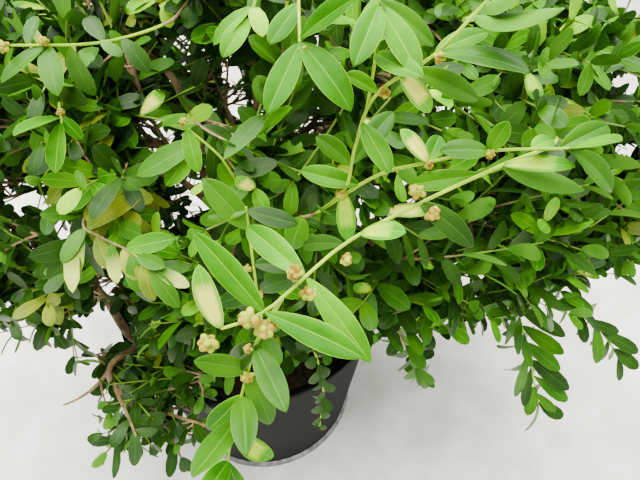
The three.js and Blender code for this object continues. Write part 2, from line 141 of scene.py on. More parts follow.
def half_axes(way):
    """The crown's three half-axes on the side of way. The one down is longer to the front left, by the
    droop times the square of the cosine of the turn from there."""
    half = np.where(way > 0, REACH_RIGHT_BACK_UP, REACH_LEFT_FRONT_DOWN)
    level = way[..., :2] / np.maximum(np.linalg.norm(way[..., :2], axis=-1, keepdims=True), 1e-9)
    turn = np.maximum(0, level @ compass(DROOP_AZIMUTH, 0)[:2])
    half[..., 2] += np.where(way[..., 2] > 0, 0, DROOP * turn**2)
    return half


def crown_reach(way):
    """One over the length of way divided by the half-axes on its side."""
    return 1 / np.linalg.norm(way / half_axes(way), axis=-1)


def crown_ways(count):
    """Directions spread evenly over a ball, drawn out by the half-axes, so that ends lie evenly."""
    ways = spread_ways(count)
    return unit(ways * half_axes(ways))


def in_crown(way, share, less=0.0):
    """The point that is a share of the reach out from the crown's middle, less a length."""
    return CROWN_MIDDLE + way * np.expand_dims(crown_reach(way) * share - less, -1)


# %% Paths as evenly spaced points
PATH_POINTS = 81


def even_points(curve, count=PATH_POINTS):
    """The points of a curve again, at equal steps of the distance travelled along it."""
    steps = np.linalg.norm(np.diff(curve, axis=0), axis=1)
    travelled = np.concatenate([[0], np.cumsum(steps)])
    wanted = np.linspace(0, travelled[-1], count)
    return np.stack([np.interp(wanted, travelled, curve[:, k]) for k in range(3)], axis=1)


def arc(start, bend, end):
    """A quadratic curve: each point is a mean of start, bend and end, weighted by its place."""
    t = np.linspace(0, 1, 201)[:, None]
    return even_points((1 - t) ** 2 * start + 2 * t * (1 - t) * bend + t * t * end)


def through(points):
    """A curve through all its points, whose speed at each follows the square root of the gaps."""
    p = np.array(points, float)
    p = np.vstack([2 * p[0] - p[1], p, 2 * p[-1] - p[-2]])
    runs = []
    for a, b, c, d in zip(p, p[1:], p[2:], p[3:]):
        ab, bc, cd = (np.sqrt(np.linalg.norm(q)) for q in (b - a, c - b, d - c))
        leave = ((b - a) / ab - (c - a) / (ab + bc) + (c - b) / bc) * bc
        arrive = ((c - b) / bc - (d - b) / (bc + cd) + (d - c) / cd) * bc
        t = np.linspace(0, 1, 101)[:, None]
        cubic = 2 * b - 2 * c + leave + arrive
        square = -3 * b + 3 * c - 2 * leave - arrive
        runs.append(b + leave * t + square * t**2 + cubic * t**3)
    return even_points(np.vstack(runs))


def point_on(path, t):
    """The point at a share t of a path's length."""
    place = t * (len(path) - 1)
    low = min(int(place), len(path) - 2)
    return path[low] + (path[low + 1] - path[low]) * (place - low)


def heading_on(path, t):
    """The direction that a path runs in at a share t of its length."""
    low = min(int(t * (len(path) - 1)), len(path) - 2)
    return unit(path[low + 1] - path[low])


def path_length(path):
    """The sum of the steps between a path's points."""
    return np.linalg.norm(np.diff(path, axis=0), axis=1).sum()


# %% [markdown]
# ## The limbs and the masses of the crown
# On the real shrub each stem ends in its own bunch of foliage. Here a mass is known by its centre, ring
# by ring, and each limb ends part of the way to one. A low stem forks just above the potting mix, and
# its bough hangs out over the pot's rim, as the left of the photo shows.

# %% The masses and their limbs
UPPER_RING = {"front": -66, "right": 6, "back": 78, "back_left": 150, "left": 222}
LOWER_RING = {
    "front": -95,
    "front_right": -45,
    "right": 5,
    "back_right": 57,
    "back_left": 112,
    "left": 166,
    "front_left": 221,
}
SKIRT_CENTRE = np.array([-72.0, -124.0, 204.0])
mass_centres = {"top": in_crown(unit(np.array([0.05, 0.05, 1.0])), UPPER_CENTRE)}
for side, azimuth in UPPER_RING.items():
    mass_centres["upper_" + side] = in_crown(compass(azimuth, UPPER_ELEVATION), UPPER_CENTRE)
for side, azimuth in LOWER_RING.items():
    mass_centres["lower_" + side] = in_crown(compass(azimuth, LOWER_ELEVATION), LOWER_CENTRE)
mass_centres["skirt"] = SKIRT_CENTRE
MASS_NAMES = list(mass_centres)
CENTRES = np.array([mass_centres[name] for name in MASS_NAMES])

LIMB_PLAN = [  # name, mass, parent, place along the parent, share of the way to the mass
    ("stem_front", "upper_front", "trunk", 0.82, 0.45),
    ("stem_right", "upper_right", "trunk", 0.9, 0.6),
    ("stem_back", "upper_back", "trunk", 0.96, 0.6),
    ("stem_back_left", "upper_back_left", "trunk", 0.88, 0.6),
    ("stem_left", "lower_front_left", "trunk", 0.5, None),
    ("bough_top", "top", "stem_back", 0.5, 0.3),
    ("bough_upper_left", "upper_left", "stem_back_left", 0.4, 0.6),
    ("bough_lower_front", "lower_front", "stem_front", 0.42, 0.5),
    ("bough_lower_front_right", "lower_front_right", "stem_front", 0.3, 0.6),
    ("bough_lower_right", "lower_right", "stem_right", 0.4, 0.62),
    ("bough_lower_back_right", "lower_back_right", "stem_back", 0.34, 0.6),
    ("bough_lower_back_left", "lower_back_left", "stem_back", 0.22, 0.6),
    ("bough_lower_left", "lower_left", "stem_back_left", 0.28, 0.6),
    ("bough_skirt", "skirt", "stem_left", 0.62, None),
]
LIMB_LIFT = 0.16
LIMB_UPRIGHT = 0.12
LOW_FORK = np.array([-86.0, -76.0, SOIL_TOP + 32])
NAMED_TIPS = {
    "stem_left": np.array([-112.0, -62.0, 268.0]),
    "bough_skirt": np.array([-96.0, -106.0, 240.0]),
}
TRUNK_FOOT = np.array([0.0, 0.0, SOIL_TOP + CLEAR])
TRUNK_TOP = TRUNK_FOOT + np.array([-5.0, 4.0, TRUNK_HEIGHT])
limb_paths = {"trunk": TRUNK_FOOT + (TRUNK_TOP - TRUNK_FOOT) * np.linspace(0, 1, PATH_POINTS)[:, None]}


def limb_path(name, mass, parent, along, share):
    """A limb's curve: it rises over the straight way to its end, and leans to the upright at its start."""
    start = point_on(limb_paths[parent], along)
    end = NAMED_TIPS.get(name)
    if end is None:
        end = CROWN_MIDDLE + (mass_centres[mass] - CROWN_MIDDLE) * share
    if name == "stem_left":
        return through([start, LOW_FORK, end])
    if parent == "trunk":
        level = (mass_centres[mass] - start) * [1, 1, 0]
        start = start + unit(level) * STEM_OFFSET
    bend = (start + end) / 2 + UP * np.linalg.norm(end - start) * LIMB_LIFT
    bend = bend * (1 - LIMB_UPRIGHT) + np.array([start[0], start[1], end[2]]) * LIMB_UPRIGHT
    return arc(start, bend, end)


limb_of = {}
for name, mass, parent, along, share in LIMB_PLAN:
    limb_paths[name] = limb_path(name, mass, parent, along, share)
    limb_of[mass] = name
print(len(LIMB_PLAN), "limbs and", len(MASS_NAMES), "masses")

# %% [markdown]
# ## Main twigs
# Inside each mass a stem grows on from its limb, and main twigs leave it for ends that are spread evenly
# over the crown. A few lead shoots have grown out past the rest: the long pale ones in the front of the
# photo. They are placed one by one, since they are what one sees first: each point was read off the
# photo and put at a chosen distance along the camera's line of sight.

# %% Main twigs and lead shoots
TWIG_TARGETS = 104
TIP_LEAF_ROOM = 30
LEAF_PAIR_SPACING = 44
SKIRT_TARGETS = 14
SKIRT_REACH = np.array([68.0, 42.0, 64.0])
TWIG_END_SHARE = 0.9
TWIG_END_MORE = 0.1
PAST_CENTRE = 1.25
STEM_STRAIGHT = 0.45
TWIG_STRAIGHT = 0.3
TWIG_PULL = 0.35
FIRST_SEED = 17
SEED_STEP = 31
TWIG_FIRST = 0.12
TWIG_RANGE = 0.8
LEAFY_SHARE = 0.58
GOLDEN_SHARE = 0.618034
LEAD_SHOOTS = [  # name, mass, the shoot it forks from, place along that or along the mass's stem, route
    ("long_shoot", "upper_right", None, 0.55, [
        (180, -60, 428), (180, -112, 449), (142, -144, 457), (106, -171, 461), (76, -192, 460),
        (49, -216, 453), (38, -220, 452),
    ]),
    ("long_shoot_side", "upper_right", "long_shoot", 0.94, [
        (45, -211, 428), (40, -213, 409), (36, -220, 396), (31, -230, 376), (30, -238, 360),
    ]),
    ("forked_shoot", "upper_front", None, 0.55, [
        (58, -124, 411), (79, -139, 441), (82, -140, 462), (88, -145, 489), (105, -151, 506),
        (120, -147, 522),
    ]),
    ("forked_shoot_right", "upper_front", "forked_shoot", 0.45, [
        (94, -140, 450), (111, -142, 457), (135, -145, 465), (164, -149, 469),
    ]),
    ("forked_shoot_tip", "upper_front", "forked_shoot", 0.75, [(87, -143, 501), (87, -139, 520)]),
    ("top_sprig", "upper_front", None, 0.55, [
        (50, -70, 482), (59, -88, 517), (60, -115, 513), (61, -138, 505),
    ]),
    ("top_sprig_side", "upper_front", "top_sprig", 0.6, [(45, -88, 510), (39, -101, 500)]),
    ("woody_twig", "top", None, 0.55, [
        (2, -20, 484), (-8, -62, 484), (-34, -83, 483), (-72, -94, 486),
    ]),
    ("left_sprig", "upper_left", None, 0.55, [(-74, -66, 436), (-66, -82, 452), (-55, -105, 454)]),
    ("tired_sprig", "upper_left", None, 0.45, [
        (-61, -115, 399), (-44, -132, 404), (-28, -141, 404), (-14, -150, 401),
    ]),
    ("middle_sprig", "upper_front", None, 0.55, [(30, -105, 412), (20, -118, 445), (9, -120, 460)]),
    ("upright_sprig", "lower_front", None, 0.55, [
        (34, -152, 352), (39, -166, 379), (39, -166, 410), (38, -158, 447),
    ]),
    ("hanging_right", "lower_front_right", None, 0.55, [
        (175, -80, 345), (197, -90, 328), (217, -104, 284), (240, -134, 222),
    ]),
    ("far_right", "lower_right", None, 0.55, [
        (215, -67, 342), (242, -89, 307), (277, -106, 279), (293, -116, 262),
    ]),
    ("over_rim", "lower_front_right", None, 0.55, [
        (120, -112, 300), (142, -112, 250), (160, -98, 190),
    ]),
    ("over_pot", "lower_front", None, 0.55, [(56, -118, 300), (70, -130, 245), (68, -140, 196)]),
]


def mass_stem(mass):
    """It leaves the limb's tip in the limb's own direction, and ends a quarter past the mass's centre."""
    limb = limb_paths[limb_of[mass]]
    way = unit(limb[-1] - limb[-2])
    start = limb[-1] + way * CLEAR
    end = start + (mass_centres[mass] - start) * PAST_CENTRE
    return arc(start, start + way * np.linalg.norm(end - start) * STEM_STRAIGHT, end)


def nearest_mass(points):
    """The number of the mass whose centre is nearest to each point."""
    return np.linalg.norm(points[:, None] - CENTRES, axis=2).argmin(axis=1)


def main_twigs(mass, index, ends):
    """A path from the mass's stem to each end, with the draws that the part makes in between."""
    stem, draw = mass_stem(mass), seeded_draws(FIRST_SEED + SEED_STEP * index)
    twigs = []
    for end in ends:
        along = TWIG_FIRST + TWIG_RANGE * next(draw)
        start = point_on(stem, along)
        bend = start + heading_on(stem, along) * np.linalg.norm(end - start) * TWIG_STRAIGHT
        twigs.append(arc(start, bend + (end - bend) * TWIG_PULL, end))
        pairs = max(1, int(path_length(twigs[-1]) * LEAFY_SHARE / LEAF_PAIR_SPACING))
        for _ in range(pairs + 2):
            next(draw)
    return twigs


end_shares = TWIG_END_SHARE + TWIG_END_MORE * ((np.arange(TWIG_TARGETS) * GOLDEN_SHARE) % 1)
crown_ends = in_crown(crown_ways(TWIG_TARGETS), end_shares, TIP_LEAF_ROOM)
owners = nearest_mass(crown_ends)
twig_paths = {}
skirt_ends = SKIRT_CENTRE + spread_ways(SKIRT_TARGETS, 0.7, 1.7) * SKIRT_REACH
for index, mass in enumerate(MASS_NAMES):
    ends = skirt_ends if mass == "skirt" else crown_ends[owners == index]
    twig_paths[mass] = main_twigs(mass, index, ends)
lead_paths = {}
for name, mass, parent, along, route in LEAD_SHOOTS:
    base = lead_paths[parent] if parent else mass_stem(mass)
    lead_paths[name] = through([point_on(base, along), *route])
leads_of = {mass: [row[0] for row in LEAD_SHOOTS if row[1] == mass] for mass in MASS_NAMES}
print(sum(map(len, twig_paths.values())), "main twigs and", len(lead_paths), "lead shoots")

# %% [markdown]
# ## Fine shoots
# The real crown is a shell of short green shoots. Each one here grows towards one of many evenly spread
# ends, from the nearest point of its own mass's main twigs that leaves it a shoot's length to grow. That
# is the part's rule one step finer, and it fills the crown from all sides without a list of places. Some
# more are drawn where the real crown is denser, and the straight ways on which the floor shows through
# the crown are kept clear of them.

# %% Fine shoots
SHOOT_COUNT = 2400
OUTER_PART = 0.75
OUTER_SHARES = (0.88, 1)
INNER_SHARES = (0.62, 0.88)
END_SCATTER = 6
SKIRT_SHOOTS = 46
SKIRT_SHARES = (0.5, 1.0)
SKIRT_LEAF_ROOM = np.array([16, 0, 2])
SHOOT_LENGTH = 78
LONGEST_SHOOT = 1.8 * SHOOT_LENGTH
SHOOT_STRAIGHT = 0.32
SHOOT_PULL = 0.3
SHOOT_SAG = 0.06
LEAST_OUTWARD = 0.35
FORK_POINTS = slice(16, None, 4)
SHOOT_POINTS = 9
LEAF_ROOM = 14
EXTRA_SHOOTS = {  # count, azimuths, elevations, shares of the reach
    "low left": (80, (195, 232), (-36, 4), (0.9, 1.05)),
    "low back": (45, (112, 150), (-36, -8), (0.8, 1.0)),
    "top": (22, (0, 360), (50, 88), (0.98, 1.1)),
}
HOLLOW_SIZE = 26
HOLLOW_SHARE = 0.14
LEFT_SHARE = 0.66
LEFT_FADE = (-140, -60)
GAPS = [  # from, to, radius: the lines of sight on which the photo shows floor through the crown
    ((-45, -148, 383), (-157, 5, 196), 5),
    ((-49, -156, 360), (-156, -24, 167), 16),
    ((-80, -124, 420), (-267, 97, 232), 8),
    ((-61, -134, 411), (-213, 60, 223), 4),
    ((23, -79, 466), (-61, 335, 272), 10),
    ((26, -89, 456), (-56, 324, 233), 12),
    ((235, -64, 453), (388, 153, 344), 5),
    ((240, -80, 422), (438, 173, 251), 5),
    ((65, -89, 442), (61, 263, 228), 7),
    ((-24, -89, 441), (-162, 227, 249), 5),
    ((165, -103, 343), (237, 42, 177), 9),
    ((-89, -120, 424), (-287, 106, 241), 6),
    ((229, -138, 364), (378, 11, 174), 11),
]
SHOOT_GAP_ROOM = 1
END_GAP_ROOM = 5
LEAF_GAP_ROOM = 4
rng = np.random.default_rng(11)


def shoot_curves(starts, headings, ends):
    """Quadratic curves, all at once: each leaves along its twig and bends to its end, sagging a little."""
    span = np.linalg.norm(ends - starts, axis=1, keepdims=True)
    bend = starts + headings * span * SHOOT_STRAIGHT
    bend = bend + (ends - bend) * SHOOT_PULL - UP * span * SHOOT_SAG
    t = np.linspace(0, 1, SHOOT_POINTS)[None, :, None]
    return (1 - t) ** 2 * starts[:, None] + 2 * t * (1 - t) * bend[:, None] + t * t * ends[:, None]


def outside_gaps(points, room=0.0):
    """False within a gap's radius, and some room, of its middle line."""
    clear = np.ones(len(points), bool)
    for start, end, radius in GAPS:
        start, way = np.array(start, float), unit(np.array(end, float) - start)
        across = np.cross(points - start, way)
        ahead = (points - start) @ way > 0
        clear &= ~ahead | (np.linalg.norm(across, axis=1) > radius + room)
    return clear


def not_in_hollows(points):
    """False in soft patches of the crown: where the mean of seven long waves in space is lowest."""
    draw = np.random.default_rng(8)
    ways, phases = unit(draw.normal(size=(7, 3))), draw.uniform(0, 2 * np.pi, 7)
    waves = np.sin(points @ ways.T / HOLLOW_SIZE + phases).mean(axis=1)
    return waves > np.quantile(waves, HOLLOW_SHARE)


def shoots_for(mass, ends):
    """Each end's shoot starts where a twig is about a shoot's length away, and not further out than it."""
    paths = twig_paths[mass]
    points = np.vstack([path[FORK_POINTS] for path in paths])
    headings = np.vstack([unit(np.gradient(path, axis=0))[FORK_POINTS] for path in paths])
    apart = ends[:, None] - points
    distance = np.linalg.norm(apart, axis=2)
    outward = unit(ends - CROWN_MIDDLE)[:, None]
    rise = (apart * outward).sum(axis=2)
    score = np.abs(distance - SHOOT_LENGTH) + np.maximum(0, LEAST_OUTWARD * distance - rise)
    best = score.argmin(axis=1)
    close = np.take_along_axis(distance, best[:, None], axis=1)[:, 0] < LONGEST_SHOOT
    curves = shoot_curves(points[best], headings[best], ends)
    clear = outside_gaps(curves[:, 3:].reshape(-1, 3), SHOOT_GAP_ROOM).reshape(len(ends), -1).all(axis=1)
    return curves[close & clear]


def extra_ends(place, rng):
    """Ends of more shoots where the real crown is denser, drawn within angles and shares of the reach."""
    count, azimuths, elevations, reach = EXTRA_SHOOTS[place]
    ways = np.array([compass(rng.uniform(*azimuths), rng.uniform(*elevations)) for _ in range(count)])
    return in_crown(ways, rng.uniform(*reach, count))


outer = rng.random(SHOOT_COUNT) < OUTER_PART
shares = np.where(outer, rng.uniform(*OUTER_SHARES, SHOOT_COUNT), rng.uniform(*INNER_SHARES, SHOOT_COUNT))
shoot_ends = in_crown(crown_ways(SHOOT_COUNT), shares, LEAF_ROOM)
shoot_ends += rng.normal(0, END_SCATTER, (SHOOT_COUNT, 3))
thick = rng.random(SHOOT_COUNT) < np.interp(shoot_ends[:, 0], LEFT_FADE, (LEFT_SHARE, 1))
extra_rng = np.random.default_rng(12)
extra = [extra_ends("low left", rng), extra_ends("low back", extra_rng), extra_ends("top", extra_rng)]
shoot_ends = shoot_ends[thick & (not_in_hollows(shoot_ends) | ~outer)]
shoot_ends = np.concatenate([shoot_ends, *extra])
shoot_ends = shoot_ends[outside_gaps(shoot_ends, END_GAP_ROOM)]
shoot_owner = nearest_mass(shoot_ends)
skirt_shares = rng.uniform(*SKIRT_SHARES, (SKIRT_SHOOTS, 1))
skirt_room = SKIRT_REACH - SKIRT_LEAF_ROOM
skirt_shoot_ends = SKIRT_CENTRE + spread_ways(SKIRT_SHOOTS) * skirt_room * skirt_shares
shoots = {}
for index, mass in enumerate(MASS_NAMES):
    ends = skirt_shoot_ends if mass == "skirt" else shoot_ends[shoot_owner == index]
    shoots[mass] = shoots_for(mass, ends)
print(sum(map(len, shoots.values())), "fine shoots")

# %% [markdown]
# ## Filling meshes from arrays
# Blender takes a mesh as flat lists of numbers. This helper hands it whole arrays at once, so a crown of
# thousands of leaves takes seconds. A box leaf's edge is sharp while its faces are smooth, so edges that
# turn by more than a set angle are marked sharp.


# %% Make a mesh object from arrays
def mesh_piece(name, points, faces, materials, which=None, sharp=1.0, leaf_place=None):
    """points in millimetres; faces is a list of arrays with a row of corner numbers for each face. A
    leaf's points also carry their place across and along the leaf, for its colours."""
    mesh = bpy.data.meshes.new(name)
    points = np.asarray(points, float).reshape(-1, 3) * 0.001
    sizes = np.concatenate([np.full(len(f), f.shape[1]) for f in faces])
    corners = np.concatenate([f.ravel() for f in faces])
    mesh.vertices.add(len(points))
    mesh.vertices.foreach_set("co", points.ravel())
    mesh.loops.add(len(corners))
    mesh.polygons.add(len(sizes))
    mesh.polygons.foreach_set("loop_start", np.concatenate([[0], np.cumsum(sizes)[:-1]]))
    mesh.polygons.foreach_set("vertices", corners)
    mesh.polygons.foreach_set("use_smooth", np.ones(len(sizes), bool))
    for material in materials:
        mesh.materials.append(material)
    if which is not None:
        mesh.polygons.foreach_set("material_index", which.astype(np.int32))
    if leaf_place is not None:
        place = mesh.attributes.new("leaf_place", "FLOAT_VECTOR", "POINT")
        place.data.foreach_set("vector", leaf_place.ravel())
    mesh.update(calc_edges=True)
    mesh.set_sharp_from_angle(angle=sharp)
    piece = bpy.data.objects.new(name, mesh)
    bpy.context.scene.collection.objects.link(piece)
    return piece


def keep_piece(piece, slot, *nodes):
    """The piece rides with the part and stands for its nodes, which are hidden; slot is not used."""
    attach(piece, "root")
    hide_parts(*nodes)


def grid_faces(rows, columns):
    """Quads between neighbours of a grid of rows by columns, whose last column meets its first."""
    row, column = np.meshgrid(np.arange(rows - 1), np.arange(columns), indexing="ij")
    after = (column + 1) % columns
    quads = np.stack([row * columns + column, row * columns + after, (row + 1) * columns + after], axis=-1)
    last = ((row + 1) * columns + column)[..., None]
    return np.concatenate([quads, last], axis=-1).reshape(-1, 4)


# %% [markdown]
# ## Surface finishes
# Every finish here is made of nodes: a noise in the object's own millimetres mixes two close colours and
# raises a slight relief. One helper builds them all, since leaf, bark, plastic and concrete differ only
# in their colours, their grain and their shine.


# %% A finish from two colours, a grain and a shine
def linear(hex_colour):
    """The linear red, green and blue of a colour written as on a screen."""
    rgb = np.array([int(hex_colour[i : i + 2], 16) for i in (0, 2, 4)]) / 255
    return [*np.where(rgb < 0.04045, rgb / 12.92, ((rgb + 0.055) / 1.055) ** 2.4), 1.0]


DARK_UNTIL = 0.36
LIGHT_FROM = 0.64


def finish(name, light, dark, grain, shine, relief, relief_grain, gloss=0.5, stretch=(1, 1, 1)):
    """grain and relief_grain are noise sizes in millimetres, shine is a roughness, relief a depth in
    millimetres, gloss the strength of the mirror part, and stretch draws the pattern out."""
    material = bpy.data.materials.new(name)
    material.use_nodes = True
    nodes, links = material.node_tree.nodes, material.node_tree.links
    shader = nodes["Principled BSDF"]
    own_place = nodes.new("ShaderNodeTexCoord")
    mapping = nodes.new("ShaderNodeMapping")
    mapping.inputs["Scale"].default_value = stretch
    links.new(own_place.outputs["Object"], mapping.inputs["Vector"])
    noise = nodes.new("ShaderNodeTexNoise")
    noise.inputs["Scale"].default_value = 1000 / grain
    noise.inputs["Detail"].default_value = 3
    links.new(mapping.outputs["Vector"], noise.inputs["Vector"])
    ramp = nodes.new("ShaderNodeValToRGB")
    for element, place, colour in zip(ramp.color_ramp.elements, (DARK_UNTIL, LIGHT_FROM), (dark, light)):
        element.position = place
        element.color = linear(colour)
    links.new(noise.outputs["Fac"], ramp.inputs["Fac"])
    links.new(ramp.outputs["Color"], shader.inputs["Base Color"])
    shader.inputs["Roughness"].default_value = shine
    shader.inputs["Specular IOR Level"].default_value = gloss
    fine = nodes.new("ShaderNodeTexNoise")
    fine.inputs["Scale"].default_value = 1000 / relief_grain
    fine.inputs["Detail"].default_value = 4
    links.new(mapping.outputs["Vector"], fine.inputs["Vector"])
    bump = nodes.new("ShaderNodeBump")
    bump.inputs["Distance"].default_value = relief * 0.001
    links.new(fine.outputs["Fac"], bump.inputs["Height"])
    links.new(bump.outputs["Normal"], shader.inputs["Normal"])
    return material


# %% [markdown]
# ## The pot
# The real pot is blow-moulded dark grey plastic: a tapered wall, a thin rolled lip, and a foot ring that
# catches the light, which is painted on it as a lighter grey highlight. It is a turned shape, so a profile
# is carried once round the axis. Rounded corners come from close points in the profile, where a faceted
# solid has only one.

# %% Pot
POT_SIDES = 128
CORNER_POINTS = 5
CORNER_RADIUS = 1.6


def wall_radius(z):
    """The outer wall's radius: a straight taper from the foot to the rim."""
    low, high = POT_FOOT_RADIUS - FOOT_OUT, POT_RIM_RADIUS - LIP_OUT
    return low + (high - low) * z / POT_HEIGHT


def rounded(corner_list, radius):
    """A profile with each corner cut back by radius and replaced by a small quadratic curve."""
    p = np.array(corner_list, float)
    out = [p[0]]
    for a, b, c in zip(p, p[1:], p[2:]):
        cut = min(radius, np.linalg.norm(b - a) * 0.45, np.linalg.norm(c - b) * 0.45)
        start, end = b + unit(a - b) * cut, b + unit(c - b) * cut
        t = np.linspace(0, 1, CORNER_POINTS)[:, None]
        out.extend((1 - t) ** 2 * start + 2 * t * (1 - t) * b + t * t * end)
    out.append(p[-1])
    return np.array(out)


def turned(profile, sides):
    """A profile of radius and height carried once round the axis, as a grid of points."""
    turn = np.arange(sides) * 2 * np.pi / sides
    radius, height = profile[:, :1], profile[:, 1:]
    return np.stack([radius * np.cos(turn), radius * np.sin(turn), height + 0 * turn], axis=-1)


floor_top = POT_WALL * 1.5
pot_profile = rounded(
    [
        (0.01, 0.02),
        (POT_FOOT_RADIUS - 9, 0.02),
        (POT_FOOT_RADIUS - 0.1, 0.02),
        (POT_FOOT_RADIUS - 0.2, FOOT_HEIGHT - 1.5),
        (wall_radius(FOOT_HEIGHT) + 0.3, FOOT_HEIGHT + 0.5),
        (wall_radius(FOOT_HEIGHT + 10), FOOT_HEIGHT + 10),
        (wall_radius(POT_HEIGHT - LIP_HEIGHT - 6), POT_HEIGHT - LIP_HEIGHT - 6),
        (wall_radius(POT_HEIGHT - LIP_HEIGHT), POT_HEIGHT - LIP_HEIGHT),
        (POT_RIM_RADIUS - 0.2, POT_HEIGHT - LIP_HEIGHT + 1),
        (POT_RIM_RADIUS - 0.1, POT_HEIGHT - 0.3),
        (wall_radius(POT_HEIGHT) - POT_WALL, POT_HEIGHT - 0.3),
        (wall_radius(POT_HEIGHT - 6) - POT_WALL, POT_HEIGHT - 6),
        (wall_radius(floor_top) - POT_WALL, floor_top),
        (0.01, floor_top),
    ],
    CORNER_RADIUS,
)
pot_plastic = finish("dark_pot_plastic", "0c0d0e", "090a0a", 60, 0.6, 0.12, 3, gloss=0.06)
# The foot ring's lighter grey is a painted highlight: the light that its ledge catches, put into its
# colour.
foot_highlight_plastic = finish("foot_painted_highlight_plastic", "9c9a95", "6e6d69", 9, 0.8, 0.1, 3, gloss=0.06)
pot_grid = turned(pot_profile[::-1], POT_SIDES)
pot_rows = len(pot_profile)
pot_caps = [np.arange(POT_SIDES)[None, ::-1], (pot_rows - 1) * POT_SIDES + np.arange(POT_SIDES)[None]]
row_height, row_radius = pot_profile[::-1][1:, 1], pot_profile[::-1][1:, 0]
# The foot ring's rows, which take the painted highlight.
foot_highlight_rows = (row_height < FOOT_HEIGHT + 1) & (row_radius > POT_FOOT_RADIUS - FOOT_OUT - 4)
pot_which = np.concatenate([np.repeat(foot_highlight_rows, POT_SIDES), [False, False]]).astype(int)
pot_faces = [grid_faces(pot_rows, POT_SIDES), *pot_caps]
pot = mesh_piece("pot_shell", pot_grid, pot_faces, [pot_plastic, foot_highlight_plastic], pot_which, 0.7)
keep_piece(pot, "pot_plastic", "pot")
print("pot", pot_rows, "rows of", POT_SIDES)

# %% [markdown]
# ## Potting mix
# The mix is a dark, crumbly heap of bark and peat. Its lumps are real relief, a sum of waves on a round
# grid, since a flat disc shows at once under a shrub that is seen from above.

# %% Potting mix
MIX_RINGS = 70
MIX_SIDES = 144
MIX_FOOT = SOIL_TOP - 20.0
MIX_FALL = 7
MIX_LUMPS = [(1.6, 6, 3), (0.9, 2.6, 4), (0.5, 1.2, 5)]  # height, width, seed


def lumps(x, y, size, seed):
    """A bumpy height from -1 to 1: the mean of six waves in drawn directions, folded once."""
    draw = np.random.default_rng(seed)
    height = 0
    for _ in range(6):
        angle, phase = draw.uniform(0, 2 * np.pi, 2)
        scale = draw.uniform(0.6, 1.7)
        height = height + np.sin((x * np.cos(angle) + y * np.sin(angle)) * scale / size + phase)
    return np.sin(height * 1.3)


def mix_height(x, y):
    """A low dome that falls 7 mm to the wall, with lumps of three sizes on it."""
    out = np.hypot(x, y) / 117
    rough = sum(height * lumps(x, y, width, seed) for height, width, seed in MIX_LUMPS)
    return SOIL_TOP - 1.5 - MIX_FALL * out**3 + rough * np.clip(out * 6 - 1, 0, 1) * 0.9


mix_radius = wall_radius(SOIL_TOP - 12) - POT_WALL - 1
ring = np.linspace(0.002, 1, MIX_RINGS)[:, None] ** 0.8 * mix_radius
turn = np.arange(MIX_SIDES) * 2 * np.pi / MIX_SIDES
mix_x, mix_y = ring * np.cos(turn), ring * np.sin(turn)
mix_top = np.stack([mix_x, mix_y, mix_height(mix_x, mix_y)], axis=-1)
mix_foot = np.stack([mix_x[-1], mix_y[-1], np.full(MIX_SIDES, MIX_FOOT)], axis=-1)[None]
mix_low = np.stack([mix_x[0], mix_y[0], np.full(MIX_SIDES, MIX_FOOT)], axis=-1)[None]
mix_grid = np.concatenate([mix_top, mix_foot, mix_low])
mix_rows = len(mix_grid)
mix_caps = [np.arange(MIX_SIDES)[None], (mix_rows - 1) * MIX_SIDES + np.arange(MIX_SIDES)[None, ::-1]]
potting_finish = finish("potting_mix", "4a3324", "20150e", 5, 0.95, 0.8, 1.5)
mix_quads = grid_faces(mix_rows, MIX_SIDES)[:, ::-1]
mix = mesh_piece("potting_mix_surface", mix_grid, [mix_quads, *mix_caps], [potting_finish])
keep_piece(mix, "potting_mix", "potting_mix")

# %% [markdown]
# ## Bark
# Old box wood is tan and finely furrowed, paler where the bark flakes. A bump map alone would leave the
# edges of a limb smooth, so the relief is in the mesh: rings round the path, whose radius is the taper
# plus ridges that run along the limb and wander, plus finer cracks across it.


# %% Limbs with bark relief
def ring_frames(path):
    """Two directions across a path at each point, held steady from one point to the next."""
    heading = unit(np.gradient(path, axis=0))
    across = unit(np.cross(heading[0], [0.31, 0.87, 0.39]))
    sideways = []
    for way in heading:
        across = unit(across - way * (across @ way))
        sideways.append(across)
    sideways = np.array(sideways)
    return sideways, np.cross(heading, sideways)


def bark_relief(turn, travelled, seed):
    """Ridges along the limb that wander with the distance travelled, and cracks across it."""
    ridges = np.sin(5 * turn + 1.6 * np.sin(travelled / 11 + seed))
    ridges = ridges + 0.7 * np.sin(9 * turn - 1.3 * np.sin(travelled / 6))
    cracks = np.sin(travelled / 1.3 + 2 * np.sin(3 * turn + seed)) * np.sin(travelled / 4.1 + 4 * turn)
    return 0.55 * ridges + 0.35 * cracks


RING_SPACING = 2.2
INSET_SHARE = 0.05
DEEPEST_RELIEF = 0.5
RELIEF_SHARE = 0.07


def bark_limb(path, radii, level=False, sides=22, seed=0.0):
    """Rings of the given radii round a path, with bark relief, closed by one face at each end. They stand
    a little inside the plain limb, so that the ridges come out to its skin."""
    rows = max(12, int(path_length(path) / RING_SPACING))
    path = even_points(path, rows)
    radii = radii(np.linspace(0, 1, rows))[:, None]
    first, second = ring_frames(path)
    if level:
        first, second = np.tile([1.0, 0, 0], (rows, 1)), np.tile([0, 1.0, 0], (rows, 1))
    turn = np.arange(sides) * 2 * np.pi / sides
    travelled = np.linspace(0, path_length(path), rows)[:, None]
    relief = bark_relief(turn, travelled, seed) * np.minimum(DEEPEST_RELIEF, radii * RELIEF_SHARE)
    radius = radii * (1 - INSET_SHARE) + relief
    rings = path[:, None] + first[:, None] * (np.cos(turn) * radius)[..., None]
    rings = rings + second[:, None] * (np.sin(turn) * radius)[..., None]
    caps = [np.arange(sides)[None, ::-1], (rows - 1) * sides + np.arange(sides)[None]]
    return rings, [grid_faces(rows, sides), *caps]


def taper(start, end):
    """A radius that falls evenly from start to end."""
    return lambda t: start + (end - start) * t


